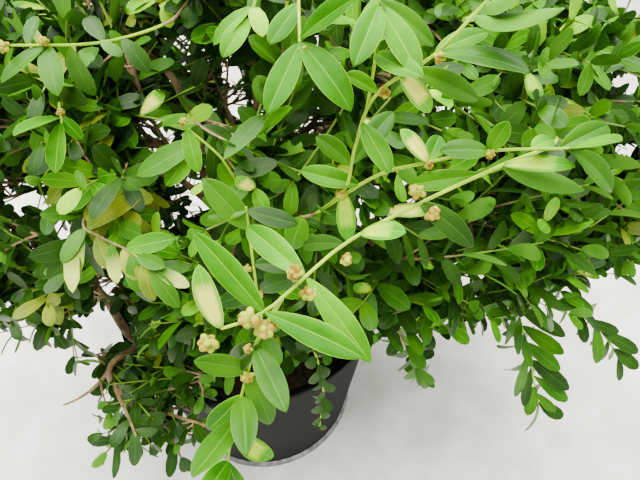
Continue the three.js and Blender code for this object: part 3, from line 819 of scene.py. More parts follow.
def trunk_taper(t):
    """The trunk's taper, with a root flare that grows as the square of the nearness to its foot."""
    flare = np.maximum(0, 1 - t * TRUNK_HEIGHT / FLARE_HEIGHT)
    return TRUNK_RADIUS + (TRUNK_TOP_RADIUS - TRUNK_RADIUS) * t + FLARE_OUT * flare**2


bark = finish("box_bark", "a58762", "5f4930", 6, 0.85, 0.5, 2.2, stretch=(1, 1, 0.45))
rings, faces = bark_limb(limb_paths["trunk"], trunk_taper, level=True, sides=40)
keep_piece(mesh_piece("trunk_bark", rings, faces, [bark]), "bark", "trunk")
for number, (name, mass, parent, along, share) in enumerate(LIMB_PLAN):
    ends = (STEM_RADIUS, STEM_TIP_RADIUS) if parent == "trunk" else (BOUGH_RADIUS, BOUGH_TIP_RADIUS)
    rings, faces = bark_limb(limb_paths[name], taper(*ends), seed=1.7 * number)
    keep_piece(mesh_piece(name + "_bark", rings, faces, [bark]), "bark", name)

# %% [markdown]
# ## Twigs and shoots as tubes
# A box shoot is four-angled and green in its first year, and the twigs behind it are brown wood. All the
# tubes of one kind have the same number of rings and sides, so one array holds them all: tube, ring,
# corner and coordinate.


# %% Many tubes at once
def tubes(paths, radii, sides):
    """Rings round every path, of the same radii for each. The first direction across is square to the
    path's chord, made square to the path again at each ring; the second is square to both. Each end is
    closed by one face."""
    count, rows = paths.shape[:2]
    heading = unit(np.gradient(paths, axis=1))
    chord = unit(paths[:, -1] - paths[:, 0])
    helper = np.where(np.abs(chord[:, 2:]) < 0.8, UP, np.array([1.0, 0, 0]))
    across = unit(np.cross(chord, helper))[:, None]
    across = unit(across - heading * (across * heading).sum(axis=2, keepdims=True))
    second = np.cross(heading, across)
    turn = np.arange(sides) * 2 * np.pi / sides
    ring = across[:, :, None] * np.cos(turn)[:, None] + second[:, :, None] * np.sin(turn)[:, None]
    points = paths[:, :, None] + ring * radii[:, None, None]
    first = (np.arange(count) * rows * sides)[:, None, None]
    quads = (grid_faces(rows, sides)[None] + first).reshape(-1, 4)
    start_caps = (np.arange(sides)[None, None, ::-1] + first).reshape(-1, sides)
    end_caps = ((rows - 1) * sides + np.arange(sides)[None, None] + first).reshape(-1, sides)
    return points.reshape(-1, 3), [quads, start_caps, end_caps]


def joined(parts):
    """Several (points, faces, material number) put into one set of arrays."""
    points, faces, which, offset = [], [], [], 0
    for part_points, part_faces, number in parts:
        points.append(part_points)
        for face in part_faces:
            faces.append(face + offset)
            which.append(np.full(len(face), number))
        offset += len(part_points)
    return np.concatenate(points), faces, np.concatenate(which)


young_wood = finish("young_brown_wood", "a3875c", "6f5636", 8, 0.8, 0.25, 2)
green_stem = finish("green_shoot", "78962a", "4f7018", 14, 0.55, 0.1, 2, gloss=0.2)
lead_stem = finish("pale_green_shoot", "aacf14", "86b00c", 12, 0.5, 0.1, 2, gloss=0.12)
TWIG_POINTS = 14
LEAD_POINTS = 41
STEM_END_RADIUS = 1.8
TWIG_RADII = (1.7, 0.8)
SHOOT_RADII = (0.95, 0.75, 0.5)
LEAD_RADII = (0.6, 0.55)
LENGTH_TO_THICKEN = 500
WOODY_SHARE = {row[0]: 0.0 if row[2] else 0.45 for row in LEAD_SHOOTS}
WOODY_SHARE.update(long_shoot=0.3, woody_twig=0.62, tired_sprig=0.9)
WOODY_LEADS = [row[0] for row in LEAD_SHOOTS if not row[2]]


def lead_tubes(lead):
    """The brown wood of a lead shoot's older part, and the green of its younger one."""
    path = even_points(lead_paths[lead], LEAD_POINTS)
    radii = np.linspace(LEAD_RADII[0] + path_length(path) / LENGTH_TO_THICKEN, LEAD_RADII[1], LEAD_POINTS)
    split = round(WOODY_SHARE[lead] * (LEAD_POINTS - 1))
    runs = [(0, split + 1, 0), (split, LEAD_POINTS, 2)]
    return [(*tubes(path[None, a:b], radii[a:b], 6), number) for a, b, number in runs if b - a > 1]


def twig_piece(mass):
    """The mass's stem, its main twigs, its fine shoots and any lead shoots, each with its own taper."""
    stem = even_points(mass_stem(mass), TWIG_POINTS)[None]
    mains = np.array([even_points(path, TWIG_POINTS) for path in twig_paths[mass]])
    limb_end = STEM_TIP_RADIUS if limb_of[mass].startswith("stem") else BOUGH_TIP_RADIUS
    half = SHOOT_POINTS // 2
    parts = [
        (*tubes(stem, np.linspace(limb_end, STEM_END_RADIUS, TWIG_POINTS), 8), 0),
        (*tubes(mains, np.linspace(*TWIG_RADII, TWIG_POINTS), 5), 0),
        (*tubes(shoots[mass][:, : half + 1], np.linspace(*SHOOT_RADII[:2], half + 1), 4), 0),
        (*tubes(shoots[mass][:, half:], np.linspace(*SHOOT_RADII[1:], half + 1), 4), 1),
    ]
    for lead in leads_of[mass]:
        parts += lead_tubes(lead)
    points, faces, which = joined(parts)
    return mesh_piece(f"foliage_{mass}_twigs", points, faces, [young_wood, green_stem, lead_stem], which)


for mass in MASS_NAMES:
    keep_piece(twig_piece(mass), "leaves", "foliage_" + mass)

# %% [markdown]
# ## The shape of a leaf
# A box leaf is a small leathery oval, folded a little along a pale midrib, with a glossy top and a paler
# matt underside. A flat card would look like paper from the side, so each leaf is a thin closed shell:
# rows of points from its stalk to its tip, with the midrib as a crease, and an underside that shares its
# edge with the top. Far leaves need few rows; near ones get more.

# %% Leaf templates
FAR_ROWS = np.array([0.1, 0.32, 0.58, 0.8, 0.95])
NEAR_ROWS = np.array([0.04, 0.1, 0.18, 0.28, 0.39, 0.5, 0.61, 0.71, 0.8, 0.88, 0.94, 0.98])
FAR_TOP = np.array([-1.0, 0.0, 1.0])
NEAR_TOP = np.array([-1.0, -0.85, -0.5, -0.2, 0.0, 0.2, 0.5, 0.85, 1.0])
FAR_UNDER = np.array([0.0])
NEAR_UNDER = np.array([-0.55, 0.0, 0.55])
LEAF_THICKNESS = 0.45
RIM_FALL = 0.9
GREATEST = 0.3849


def leaf_half_width(s, slim):
    """s less its cube, over its greatest value, to the power slim: 0.5 gives a round tip and 0.8 a
    pointed one. It tapers to the stalk and is widest just past the middle."""
    return ((s - s**3) / GREATEST) ** slim


def leaf_template(rows, top, under):
    """Corner numbers for one leaf: 0 is the stalk, 1 the tip, then the top row by row, then the under
    side. Gives the triangles and quads, and for each face whether it is underneath."""
    r, c, u = len(rows), len(top), len(under)
    upper = 2 + np.arange(r * c).reshape(r, c)
    lower = 2 + r * c + np.arange(r * u).reshape(r, u)
    beneath = np.concatenate([upper[:, :1], lower, upper[:, -1:]], axis=1)
    tris, quads = [], []
    for grid in (upper, beneath[:, ::-1]):
        left, right = grid[:, :-1], grid[:, 1:]
        tris += [(0, b, a) for a, b in zip(left[0], right[0])]
        tris += [(1, a, b) for a, b in zip(left[-1], right[-1])]
        quads.append(np.stack([left[:-1], right[:-1], right[1:], left[1:]], axis=-1).reshape(-1, 4))
    tri_under = np.repeat([0, 1], [2 * (c - 1), 2 * (u + 1)])
    quad_under = np.repeat([0, 1], [len(quads[0]), len(quads[1])])
    return np.array(tris), np.concatenate(quads), tri_under, quad_under


def leaf_points(leaves, rows, top, under):
    """Points of every leaf, and their places across and along it. The leaf bends on a circle by its
    curl; its halves rise by its fold and fall away again at the rim. The underside lies a thickness
    lower. Raising s to a power above one moves the widest place of a leaf towards its tip."""
    s = np.concatenate([[0, 1], np.repeat(rows, len(top)), np.repeat(rows, len(under))])
    across = np.concatenate([[0, 0], np.tile(top, len(rows)), np.tile(under, len(rows))])
    top_depth = np.tile(np.where(np.abs(top) < 0.95, -LEAF_THICKNESS / 2, 0), len(rows))
    depth = np.concatenate([[0, 0], top_depth, np.full(len(rows) * len(under), LEAF_THICKNESS)])
    keys = ("curl", "length", "width", "fold", "widest", "slim", "sway")
    curl, length, width, fold, widest, slim, sway = (leaves[key][:, None] for key in keys)
    along = length * np.sin(curl * s) / curl
    drop = length * (1 - np.cos(curl * s)) / curl
    half = width / 2 * leaf_half_width(s**widest, slim) * across
    rise = fold * np.abs(half) - RIM_FALL * fold * half**2 / width
    shift = half + sway * length * (s - s**2)
    lift = rise - drop - depth
    root, way, side, face = (leaves[key][:, None] for key in ("root", "way", "side", "face"))
    points = root + way * along[..., None]
    points = points + side * shift[..., None] + face * lift[..., None]
    return points, np.tile(np.stack([across, s, 0 * s], axis=-1), (len(length), 1, 1))


# %% [markdown]
# ## Where the leaves sit
# Box leaves grow in opposite pairs, each pair a quarter turn on from the last. On a shoot that leans out
# level their stalks twist, so the pairs come to lie flat, to the left and right, with the glossy side to
# the light. Both facts are one line each here: the upright part of a pair's way is cut to a share, and a
# leaf's face is partly its natural one and partly the way to the light.

# %% Leaf places along shoots
LEAF_LENGTH = 25.5
LEAF_WIDTH_SHARE = 0.22
LEAF_WIDTH_MORE = 4.4
NODE_SPACING = 10.5
FIRST_NODE = 0.12
FLATNESS = 0.55
LIGHT_PULL = 0.6
LEAD_LIGHT_PULL = 0.85
LEAD_LIGHT = unit(np.array([0.2, -0.7, 0.7]))
TIP_PART = 0.85
TIP_LEAF_SIZE = 0.7
BOX_MARGIN = 1.5
BACKWARD_SHARE = 0.08
BACKWARD_CURLS = (0.2, 0.7)
CURLS = (0.08, 0.75)
FOLDS = (0.05, 0.38)
WIDTH_CHANGES = (0.86, 1.14)
LENGTH_CHANGES = (0.74, 1.16)
SWAY = 0.06
WIDEST_PLACES = (0.95, 1.35)
SLIM_LENGTHS = (16, 34)
SLIM_POWERS = (0.52, 0.68)
NODE_JITTER = 0.4
PAIR_TWIST = 0.6
PAIR_WANDER = 0.22
PAIR_OPENING = (42, 72)
OPENING_FALL = 0.4
FACE_WANDER = 0.2


def leaf_record(rng, root, way, face, length, shoot, place):
    """One set of leaves: a frame of way, side and face at each root, and drawn widths and bends. A
    leaf's width is a share of its length and some more, so that the long ones are narrow."""
    count = len(root)
    way = unit(way)
    side = unit(np.cross(face, way))
    backward = rng.random(count) < BACKWARD_SHARE
    curl = np.where(backward, -rng.uniform(*BACKWARD_CURLS, count), rng.uniform(*CURLS, count))
    return {
        "root": root,
        "way": way,
        "side": side,
        "face": np.cross(way, side),
        "length": length,
        "width": (length * LEAF_WIDTH_SHARE + LEAF_WIDTH_MORE) * rng.uniform(*WIDTH_CHANGES, count),
        "fold": rng.uniform(*FOLDS, count),
        "curl": curl,
        "sway": rng.normal(0, SWAY, count),
        "widest": rng.uniform(*WIDEST_PLACES, count),
        "slim": np.interp(length, SLIM_LENGTHS, SLIM_POWERS),
        "shoot": shoot,
        "place": place,
    }


def leaf_places(paths, spacing, first, size, rng, light_pull=LIGHT_PULL, toward=None):
    """Opposite pairs along every path from a first share of it to its tip, where they are smaller. They
    face the light above and outside the crown, or the one they are given."""
    paths = np.asarray(paths, float)
    count, rows = paths.shape[:2]
    size = np.broadcast_to(size, count)
    lengths = np.linalg.norm(np.diff(paths, axis=1), axis=2).sum(axis=1)
    nodes = np.maximum(2, ((1 - first) * lengths / spacing).astype(int))
    shoot = np.repeat(np.arange(count), nodes)
    number = np.arange(len(shoot)) - np.repeat(np.cumsum(nodes) - nodes, nodes)
    share = (number + NODE_JITTER * rng.random(len(shoot)) + (1 - NODE_JITTER)) / nodes[shoot]
    t = first + (1 - first) * share
    place = np.minimum(t, 0.995) * (rows - 1)
    low = np.minimum(place.astype(int), rows - 2)
    step = paths[shoot, low + 1] - paths[shoot, low]
    root = paths[shoot, low] + step * (place - low)[:, None]
    heading = unit(step)
    level = unit(np.cross(heading, UP) + 1e-6)
    upright = np.cross(level, heading)
    steepness = np.abs(heading[:, 2])
    flat = FLATNESS + (1 - FLATNESS) * steepness
    quarter = rng.uniform(-PAIR_TWIST, PAIR_TWIST, count)[shoot] + (number % 2) * np.pi / 2
    light = unit(unit(root - CROWN_MIDDLE) * [0.5, 0.5, 0] + UP * 0.9) if toward is None else toward
    hands = []
    for hand in (0, np.pi):
        angle = quarter + hand + rng.normal(0, PAIR_WANDER, len(shoot))
        radial = unit(level * np.cos(angle)[:, None] + upright * (flat * np.sin(angle))[:, None])
        opening = np.radians(rng.uniform(*PAIR_OPENING, len(shoot))) * (1 - OPENING_FALL * share)
        way = heading * np.cos(opening)[:, None] + radial * np.sin(opening)[:, None]
        natural = heading * np.sin(opening)[:, None] - radial * np.cos(opening)[:, None]
        face = natural * (1 - light_pull) + light * light_pull
        face = unit(face + rng.normal(0, FACE_WANDER, root.shape))
        length = size[shoot] * np.where(share > TIP_PART, TIP_LEAF_SIZE, 1.0)
        length = length * rng.uniform(*LENGTH_CHANGES, len(shoot))
        hands.append(leaf_record(rng, root, way, face, length, shoot, share))
    return together(*hands)


def chosen(leaves, keep):
    """The leaves for which keep is true."""
    return {key: value[keep] for key, value in leaves.items()}


def together(*groups):
    """Several sets of leaves as one."""
    return {key: np.concatenate([group[key] for group in groups]) for key in groups[0]}


def inside_part(leaves):
    """True where a leaf's ends stay inside the part's box and out of the pot."""
    tip = leaves["root"] + leaves["way"] * leaves["length"][:, None] * 1.02
    ends = np.stack([leaves["root"], tip], axis=1)
    boxed = ((ends > PART_LOW + BOX_MARGIN) & (ends < PART_HIGH - BOX_MARGIN)).all(axis=(1, 2))
    radius = np.linalg.norm(ends[..., :2], axis=2)
    in_pot = ((radius < POT_RIM_RADIUS + 2) & (ends[..., 2] < POT_HEIGHT + 3)).any(axis=1)
    return boxed & ~in_pot


# %% [markdown]
# ## The big leaves in front
# The camera is only some 15 cm from the nearest shoots, so their leaves fill much of the photo. They are
# laid out one by one, from where the photo shows their roots and tips: each has the share along its shoot
# where it is rooted, the place of its tip, and its tone. A leaf's length is what lies between.

# %% Leaves laid out one by one
FRONT_LEAVES = {
    "long_shoot": [
        (0.96, 30, -202, 475, "bright"), (0.96, 81, -228, 449, "bright"), (0.91, 42, -186, 465, "bright"),
        (0.91, 86, -224, 437, "bright"), (1.0, 34, -215, 474, "bleached"), (0.86, 58, -179, 450, "deep"),
        (0.84, 94, -195, 470, "spotted"), (0.76, 126, -183, 449, "deep"),
        (0.66, 104, -148, 452, "bright"), (0.62, 167, -153, 465, "spotted"),
        (0.62, 175, -151, 448, "under"), (0.41, 188, -113, 412, "mid"),
    ],
    "long_shoot_side": [
        (0.25, 34, -211, 413, "deep"), (0.28, 57, -234, 429, "mid"), (0.42, 26, -218, 429, "mid"),
        (0.45, 49, -226, 392, "mid"), (0.54, 22, -224, 384, "bright"), (0.55, 42, -239, 410, "mid"),
        (0.65, 25, -246, 405, "mid"), (0.7, 50, -230, 369, "spotted"), (0.85, 26, -249, 386, "bright"),
        (0.85, 36, -242, 356, "bright"),
    ],
    "forked_shoot": [
        (0.55, 81, -154, 423, "spotted"), (0.47, 72, -132, 405, "deep"), (0.62, 101, -122, 472, "mid"),
        (0.62, 67, -137, 467, "mid"), (0.72, 94, -163, 470, "bright"), (0.79, 78, -147, 499, "bright"),
        (0.84, 107, -156, 489, "bleached"), (0.86, 126, -152, 493, "mid"), (0.9, 127, -172, 516, "mid"),
        (0.9, 123, -145, 513, "bright"), (0.97, 132, -178, 524, "under"), (0.99, 127, -167, 530, "under"),
    ],
    "forked_shoot_tip": [
        (0.55, 99, -164, 507, "bright"), (0.94, 100, -159, 504, "bright"),
        (0.94, 79, -163, 511, "bright"), (0.97, 109, -142, 507, "mid"),
    ],
    "forked_shoot_right": [
        (0.25, 59, -133, 449, "bright"), (0.53, 102, -137, 471, "bleached"),
        (0.53, 119, -130, 464, "bright"), (0.74, 115, -148, 468, "mid"), (0.74, 139, -145, 478, "bright"),
        (0.88, 163, -139, 468, "bright"), (0.97, 182, -141, 476, "mid"), (1.0, 170, -164, 484, "bright"),
        (1.0, 188, -156, 454, "mid"),
    ],
    "top_sprig": [
        (1.0, 50, -160, 491, "grass"), (1.0, 79, -160, 494, "grass"), (0.99, 78, -143, 522, "grass"),
        (0.99, 57, -134, 486, "mid"), (0.89, 50, -135, 504, "grass"),
    ],
    "top_sprig_side": [
        (1.0, 28, -115, 491, "bright"), (0.85, 22, -108, 495, "bright"), (0.85, 45, -110, 497, "fresh"),
    ],
    "woody_twig": [
        (0.91, -49, -110, 472, "mid"), (0.91, -74, -107, 477, "mid"), (0.86, -47, -89, 456, "mid"),
        (0.74, -13, -88, 472, "deep"), (0.78, -43, -71, 492, "deep"), (0.79, -24, -87, 480, "mid"),
        (0.95, -62, -78, 494, "mid"),
    ],
    "left_sprig": [
        (0.95, -66, -124, 462, "bright"), (0.99, -58, -124, 439, "bright"),
        (0.94, -48, -106, 446, "bright"), (0.54, -57, -67, 424, "mid"), (0.4, -59, -64, 411, "mid"),
    ],
    "middle_sprig": [
        (0.81, 41, -99, 458, "mid"), (0.72, 47, -109, 436, "deep"), (1.0, 13, -134, 446, "bright"),
        (0.94, -16, -131, 443, "mid"), (0.94, -4, -134, 439, "bright"),
    ],
    "tired_sprig": [
        (0.6, -58, -155, 390, "tired"), (0.72, -39, -146, 396, "yellowing"),
        (0.8, -33, -154, 394, "tired"), (0.86, -22, -154, 396, "yellowing"), (0.9, -21, -159, 392, "mid"),
        (0.96, -14, -163, 390, "yellowing"), (0.98, -1, -165, 388, "mid"), (1.0, 4, -156, 394, "tired"),
        (0.87, -5, -139, 412, "bright"), (0.92, -7, -152, 404, "mid"),
        (0.55, -38, -114, 419, "yellowing"), (0.65, -26, -115, 421, "yellowing"),
        (0.5, -77, -121, 410, "mid"), (0.62, -65, -141, 395, "mid"),
    ],
    "upright_sprig": [
        (0.94, 23, -158, 460, "mid"), (0.99, 59, -161, 441, "deep"), (0.99, 21, -159, 443, "mid"),
        (0.84, 59, -163, 419, "deep"), (0.75, 60, -161, 409, "deep"), (0.75, 20, -171, 399, "deep"),
    ],
}


FRONT_FACE = unit(np.array([0.0, -0.5, 0.85]))
FRONT_FACE_WANDER = 0.12
FRONT_CURLS = (0.1, 0.5)
FRONT_FOLDS = (0.25, 0.6)
FRONT_WIDEST = (0.8, 1.05)
FRONT_SLIMMER = 0.1
LONG_SHOOT_WIDTH = 0.78
FRONT_WIDTH = 0.96


def front_leaves(lead, rows, rng):
    """The named leaves of one shoot, faced between straight up and the front, or away where it is the
    underside that shows."""
    path = lead_paths[lead]
    roots = np.array([point_on(path, row[0]) for row in rows])
    spans = np.array([row[1:4] for row in rows]) - roots
    tones = [row[4] for row in rows]
    face = FRONT_FACE + rng.normal(0, FRONT_FACE_WANDER, roots.shape)
    face = np.where(np.array(tones)[:, None] == "under", -face, face)
    length = np.linalg.norm(spans, axis=1)
    place = np.full(len(rows), 0.5)
    leaves = leaf_record(rng, roots, spans, face, length, np.zeros(len(rows), int), place)
    leaves["curl"] = rng.uniform(*FRONT_CURLS, len(rows))
    leaves["fold"] = rng.uniform(*FRONT_FOLDS, len(rows))
    leaves["widest"] = rng.uniform(*FRONT_WIDEST, len(rows))
    leaves["slim"] += FRONT_SLIMMER
    leaves["width"] *= LONG_SHOOT_WIDTH if lead == "long_shoot" else FRONT_WIDTH
    leaves["tone"] = np.array([TONES.index("mid" if tone == "under" else tone) for tone in tones])
    return leaves


# %% [markdown]
# ## Leaf colours
# In the photo the shoot ends are a fresh yellow green, the older leaves a deep green, and a few are
# bleached to cream or blotched with yellow. A leaf's colour goes with its shoot, so each shoot is
# dealt one of a few plain finishes. Inside a leaf the midrib and the rim are paler, and faint veins slant
# forward from the midrib. Their lines would cost many faces, so the finish draws them from each point's
# place across and along its own leaf.


# %% Leaf finishes
def sum_of(tree, operation, first, second, clamp=False):
    """The socket that gives an arithmetic operation on two sockets or numbers."""
    node = tree.nodes.new("ShaderNodeMath")
    node.operation = operation
    node.use_clamp = clamp
    for slot, value in zip(node.inputs, (first, second)):
        if isinstance(value, (int, float)):
            slot.default_value = value
        else:
            tree.links.new(value, slot)
    return node.outputs[0]


def step_up(tree, value, start, end):
    """0 up to start and 1 from end on, with an even rise between."""
    return sum_of(tree, "DIVIDE", sum_of(tree, "SUBTRACT", value, start), end - start, clamp=True)


VEIN_WAVES = 58
VEIN_SLANT = 11
VEIN_RISE = (0.3, 1.0)
VEIN_DARK = 0.055
MIDRIB_RISE = (0.012, 0.045)
MIDRIB_SHARE = 0.5
RIM_RISE = (0.93, 0.97)
RIM_SHARE = 0.45
# TIP_RISE and TIP_SHARE set a painted sheen: the leaf darkens towards its tip, so that its stalk end looks
# lit.
TIP_RISE = (0.2, 1.0)
TIP_SHARE = 0.75
ENDS_RISE = (0.5, 0.85)
STALK_RISE = (0.3, 0.75)


def leaf_finish(name, light, dark, line, grain=30, gloss=0.1, ends=None, stalk=None):
    """A leaf's top: two noisy colours, turning to the dark one at the tip, a painted sheen that leaves the
    stalk end lighter, and to the line colour on the midrib and the rim, and darker on its veins. It may
    turn to an ends colour towards its rim, stalk and tip, or to a stalk colour on its lower half."""
    material = finish(name, light, dark, grain, 0.36, 0.12, 4, gloss)
    tree = material.node_tree
    shader = tree.nodes["Principled BSDF"]
    colour = shader.inputs["Base Color"].links[0].from_socket
    place = tree.nodes.new("ShaderNodeAttribute")
    place.attribute_name = "leaf_place"
    split = tree.nodes.new("ShaderNodeSeparateXYZ")
    tree.links.new(place.outputs["Vector"], split.inputs[0])
    out = sum_of(tree, "ABSOLUTE", split.outputs["X"], 0)
    along = split.outputs["Y"]
    forward = sum_of(tree, "MULTIPLY", along, VEIN_WAVES)
    slanted = sum_of(tree, "SUBTRACT", forward, sum_of(tree, "MULTIPLY", out, VEIN_SLANT))
    wave = sum_of(tree, "SINE", slanted, 0)
    near_middle = sum_of(tree, "SUBTRACT", 1, step_up(tree, out, *MIDRIB_RISE))
    midrib = sum_of(tree, "MULTIPLY", near_middle, MIDRIB_SHARE)
    rim = sum_of(tree, "MULTIPLY", step_up(tree, out, *RIM_RISE), RIM_SHARE)
    veins = sum_of(tree, "MULTIPLY", step_up(tree, wave, *VEIN_RISE), VEIN_DARK)
    # painted sheen and shade: the leaf darkens towards its tip and stays lighter at the stalk end
    painted_tip_shade = sum_of(tree, "MULTIPLY", step_up(tree, along, *TIP_RISE), TIP_SHARE)
    turns = [(painted_tip_shade, dark), (veins, "000000"), (sum_of(tree, "MAXIMUM", midrib, rim), line)]
    if ends:
        from_middle = sum_of(tree, "ABSOLUTE", sum_of(tree, "SUBTRACT", along, 0.4), 0)
        lengthways = sum_of(tree, "MULTIPLY", from_middle, 2.3)
        outer = sum_of(tree, "MAXIMUM", sum_of(tree, "MULTIPLY", out, 0.95), lengthways)
        turns.insert(1, (step_up(tree, outer, *ENDS_RISE), ends))
    if stalk:
        turns.insert(1, (sum_of(tree, "SUBTRACT", 1, step_up(tree, along, *STALK_RISE)), stalk))
    for share, shade in turns:
        mix = tree.nodes.new("ShaderNodeMix")
        mix.data_type = "RGBA"
        mix.inputs["B"].default_value = linear(shade)
        tree.links.new(share, mix.inputs["Factor"])
        tree.links.new(colour, mix.inputs["A"])
        colour = mix.outputs["Result"]
    tree.links.new(colour, shader.inputs["Base Color"])
    return material


LEAF_TOPS = {
    "deep": leaf_finish("leaf_deep_green", "305410", "1c3a0a", "487f20", gloss=0.13),
    "mid": leaf_finish("leaf_mid_green", "488004", "2a5a04", "62a028", gloss=0.14),
    "bright": leaf_finish("leaf_bright_green", "62aa00", "286800", "a0d430", gloss=0.06),
    "fresh": leaf_finish("leaf_fresh_green", "a4d802", "56a000", "c4e440", gloss=0.06),
    "spotted": leaf_finish("leaf_blotched", "c8e400", "94c400", "a4d43a", 13, 0.06, ends="3e8e02"),
    "bleached": leaf_finish("leaf_bleached", "fcfc60", "ecee50", "eef498", 16, 0.07, ends="60ae04"),
    "yellowing": leaf_finish("leaf_yellowing", "8a961a", "566e10", "b4b03a", 18, 0.12),
    "grass": leaf_finish("leaf_grass_green", "4a9200", "246200", "90c42c", gloss=0.06),
    "tired": leaf_finish("leaf_tired", "d8e07c", "acb84c", "98a850", 16, 0.07, stalk="3a6a0c"),
}
TONES = list(LEAF_TOPS)
leaf_under = finish("leaf_underside", "5c9624", "44801a", 25, 0.6, 0.1, 4, gloss=0.1)
LEAF_FINISHES = [*LEAF_TOPS.values(), leaf_under]
UNDER = len(TONES)


def leaf_arrays(leaves, near):
    """Points, places, faces and material numbers of a set of leaves, by the near or the far template."""
    shape = (NEAR_ROWS, NEAR_TOP, NEAR_UNDER) if near else (FAR_ROWS, FAR_TOP, FAR_UNDER)
    tris, quads, *beneath = leaf_template(*shape)
    points, places = leaf_points(leaves, *shape)
    count, corners = points.shape[:2]
    offset = (np.arange(count) * corners)[:, None, None]
    faces = [(tris + offset).reshape(-1, 3), (quads + offset).reshape(-1, 4)]
    tone = leaves["tone"][:, None]
    kinds = [np.where(under, UNDER, tone).ravel() for under in beneath]
    return points.reshape(-1, 3), places.reshape(-1, 3), faces, np.concatenate(kinds)


# %% Leaves of every mass
CAMERA_PLACE = np.array([68.0, -300.0, 570.0])
NEAR_DISTANCE = 215
TONE_SHARES = [0.36, 0.38, 0.2, 0.06]
# The heights, left places, share, masses and depth below set painted shade: leaves low in the crown, at
# its left, in its lowest left masses and deep inside are dealt darker tones for the crown's shade.
LOW_SHADE_HEIGHTS = (260, 410)
LEFT_SHADE_PLACES = (-130, 0)
LEFT_SHADE_SHARE = 0.8
SHADED_LOW_LEFT_MASSES = ("skirt", "lower_front_left")
SHADE_DEPTH = 0.25
FRESH_TIP_SHARE = 0.35
SICK_LEFT = 0.05
SICK_ELSEWHERE = 0.01
BARE_DEPTH = 0.22
BARE_SHARES = (0.6, 0.25)
BLEACHED_SHARE = 0.006
SPOTTED_SHARE = 0.01
LOW_LEAF_LENGTH = 17
SMALL_HEIGHTS = (230, 370)
TWIG_NODE_SPACING = 14
TWIG_FIRST_NODE = 0.5
LEAD_LEAF_LENGTH = {"hanging_right": 34, "far_right": 28, "over_rim": 19, "over_pot": 13}
LEAD_FIRST_NODE = 0.3
LEAD_NODES_IN_LEAF = 4.5
CLOSEST_LEAD_NODES = 8
SKIRT_LEFT = -122
LEAF_SEED = 100
LEAF_CREASE = 0.9


def shoot_leaves(mass, rng):
    """The leaves of a mass's fine shoots, and how deep in the crown each is rooted, as a share of its
    reach. A shoot's tone is darker low down and at the left, and one step darker deep inside, all of it
    painted shade of the crown."""
    curves = shoots[mass]
    right, height = curves[:, -1, 0], curves[:, -1, 2]
    size = np.interp(height, SMALL_HEIGHTS, (LOW_LEAF_LENGTH, LEAF_LENGTH))
    fine = leaf_places(curves, NODE_SPACING, FIRST_NODE, size, rng)
    tone = rng.choice([0, 1, 2, 3], len(curves), p=TONE_SHARES)
    # painted shade: shoots low in the crown a step darker
    tone -= rng.random(len(curves)) < np.interp(height, LOW_SHADE_HEIGHTS, (1, 0))
    # painted shade: shoots at the left a step darker
    tone -= rng.random(len(curves)) < np.interp(right, LEFT_SHADE_PLACES, (LEFT_SHADE_SHARE, 0))
    # painted shade: the lowest left masses a step darker
    tone -= mass in SHADED_LOW_LEFT_MASSES
    out = fine["root"] - CROWN_MIDDLE
    depth = 1 - np.linalg.norm(out, axis=1) / crown_reach(unit(out))
    fresh_tip = (fine["place"] > TIP_PART) & (rng.random(len(depth)) < FRESH_TIP_SHARE)
    # painted shade: leaves rooted deep inside a step darker; fresh tips a step paler, which is their own
    # colour
    fine["tone"] = np.clip(tone[fine["shoot"]] - (depth > SHADE_DEPTH) + fresh_tip, 0, 3)
    sick = rng.random(len(curves)) < (SICK_LEFT if "left" in mass else SICK_ELSEWHERE)
    fine["tone"] = np.where(sick[fine["shoot"]], TONES.index("yellowing"), fine["tone"])
    return fine, depth


def twig_leaves(mass, rng):
    """The older leaves on the outer half of a mass's main twigs."""
    mains = np.array([even_points(path, SHOOT_POINTS) for path in twig_paths[mass]])
    main = leaf_places(mains, TWIG_NODE_SPACING, TWIG_FIRST_NODE, LEAF_LENGTH, rng)
    # painted shade: the main-twig leaves of the lowest left masses are all deep green
    main["tone"] = rng.choice([0, 1], len(main["root"])) * (mass not in SHADED_LOW_LEFT_MASSES)
    return main


def lead_leaves(mass, rng):
    """The leaves of a mass's lead shoots: those laid out one by one, and pairs by the rule on the inner
    half of a main shoot that has such leaves, and on the whole of any shoot that has none."""
    groups = []
    for name in leads_of[mass]:
        run = even_points(lead_paths[name], LEAD_POINTS)
        if name in FRONT_LEAVES:
            groups.append(front_leaves(name, FRONT_LEAVES[name], rng))
            run = run[: LEAD_POINTS // 2]
        if name not in FRONT_LEAVES or name in WOODY_LEADS:
            size = LEAD_LEAF_LENGTH.get(name, LEAF_LENGTH)
            spacing = max(CLOSEST_LEAD_NODES, size / LEAD_NODES_IN_LEAF)
            lead = leaf_places(run[None], spacing, LEAD_FIRST_NODE, size, rng, LEAD_LIGHT_PULL, LEAD_LIGHT)
            lead["tone"] = rng.choice([0, 1], len(lead["root"])) * (name != "over_pot")
            groups.append(lead)
    return groups


def mass_leaves(mass, rng):
    """All the leaves of a mass, less some deep inside and those in a gap, in the pot or past the box."""
    fine, depth = shoot_leaves(mass, rng)
    main = twig_leaves(mass, rng)
    bare = rng.random(len(depth)) < np.interp(fine["root"][:, 0], LEFT_FADE, BARE_SHARES)
    inner = together(chosen(fine, ~(bare & (depth > BARE_DEPTH))), main)
    marked = rng.random(len(inner["tone"]))
    inner["tone"] = np.where(marked < BLEACHED_SHARE, TONES.index("bleached"), inner["tone"])
    inner["tone"] = np.where(marked > 1 - SPOTTED_SHARE, TONES.index("spotted"), inner["tone"])
    middle = inner["root"] + inner["way"] * inner["length"][:, None] / 2
    keep = outside_gaps(middle, LEAF_GAP_ROOM)
    if mass == "skirt":
        keep &= (middle[:, 0] > SKIRT_LEFT) | (middle[:, 2] > SKIRT_CENTRE[2] + SKIRT_REACH[2])
    leaves = together(chosen(inner, keep), *lead_leaves(mass, rng))
    return chosen(leaves, inside_part(leaves))


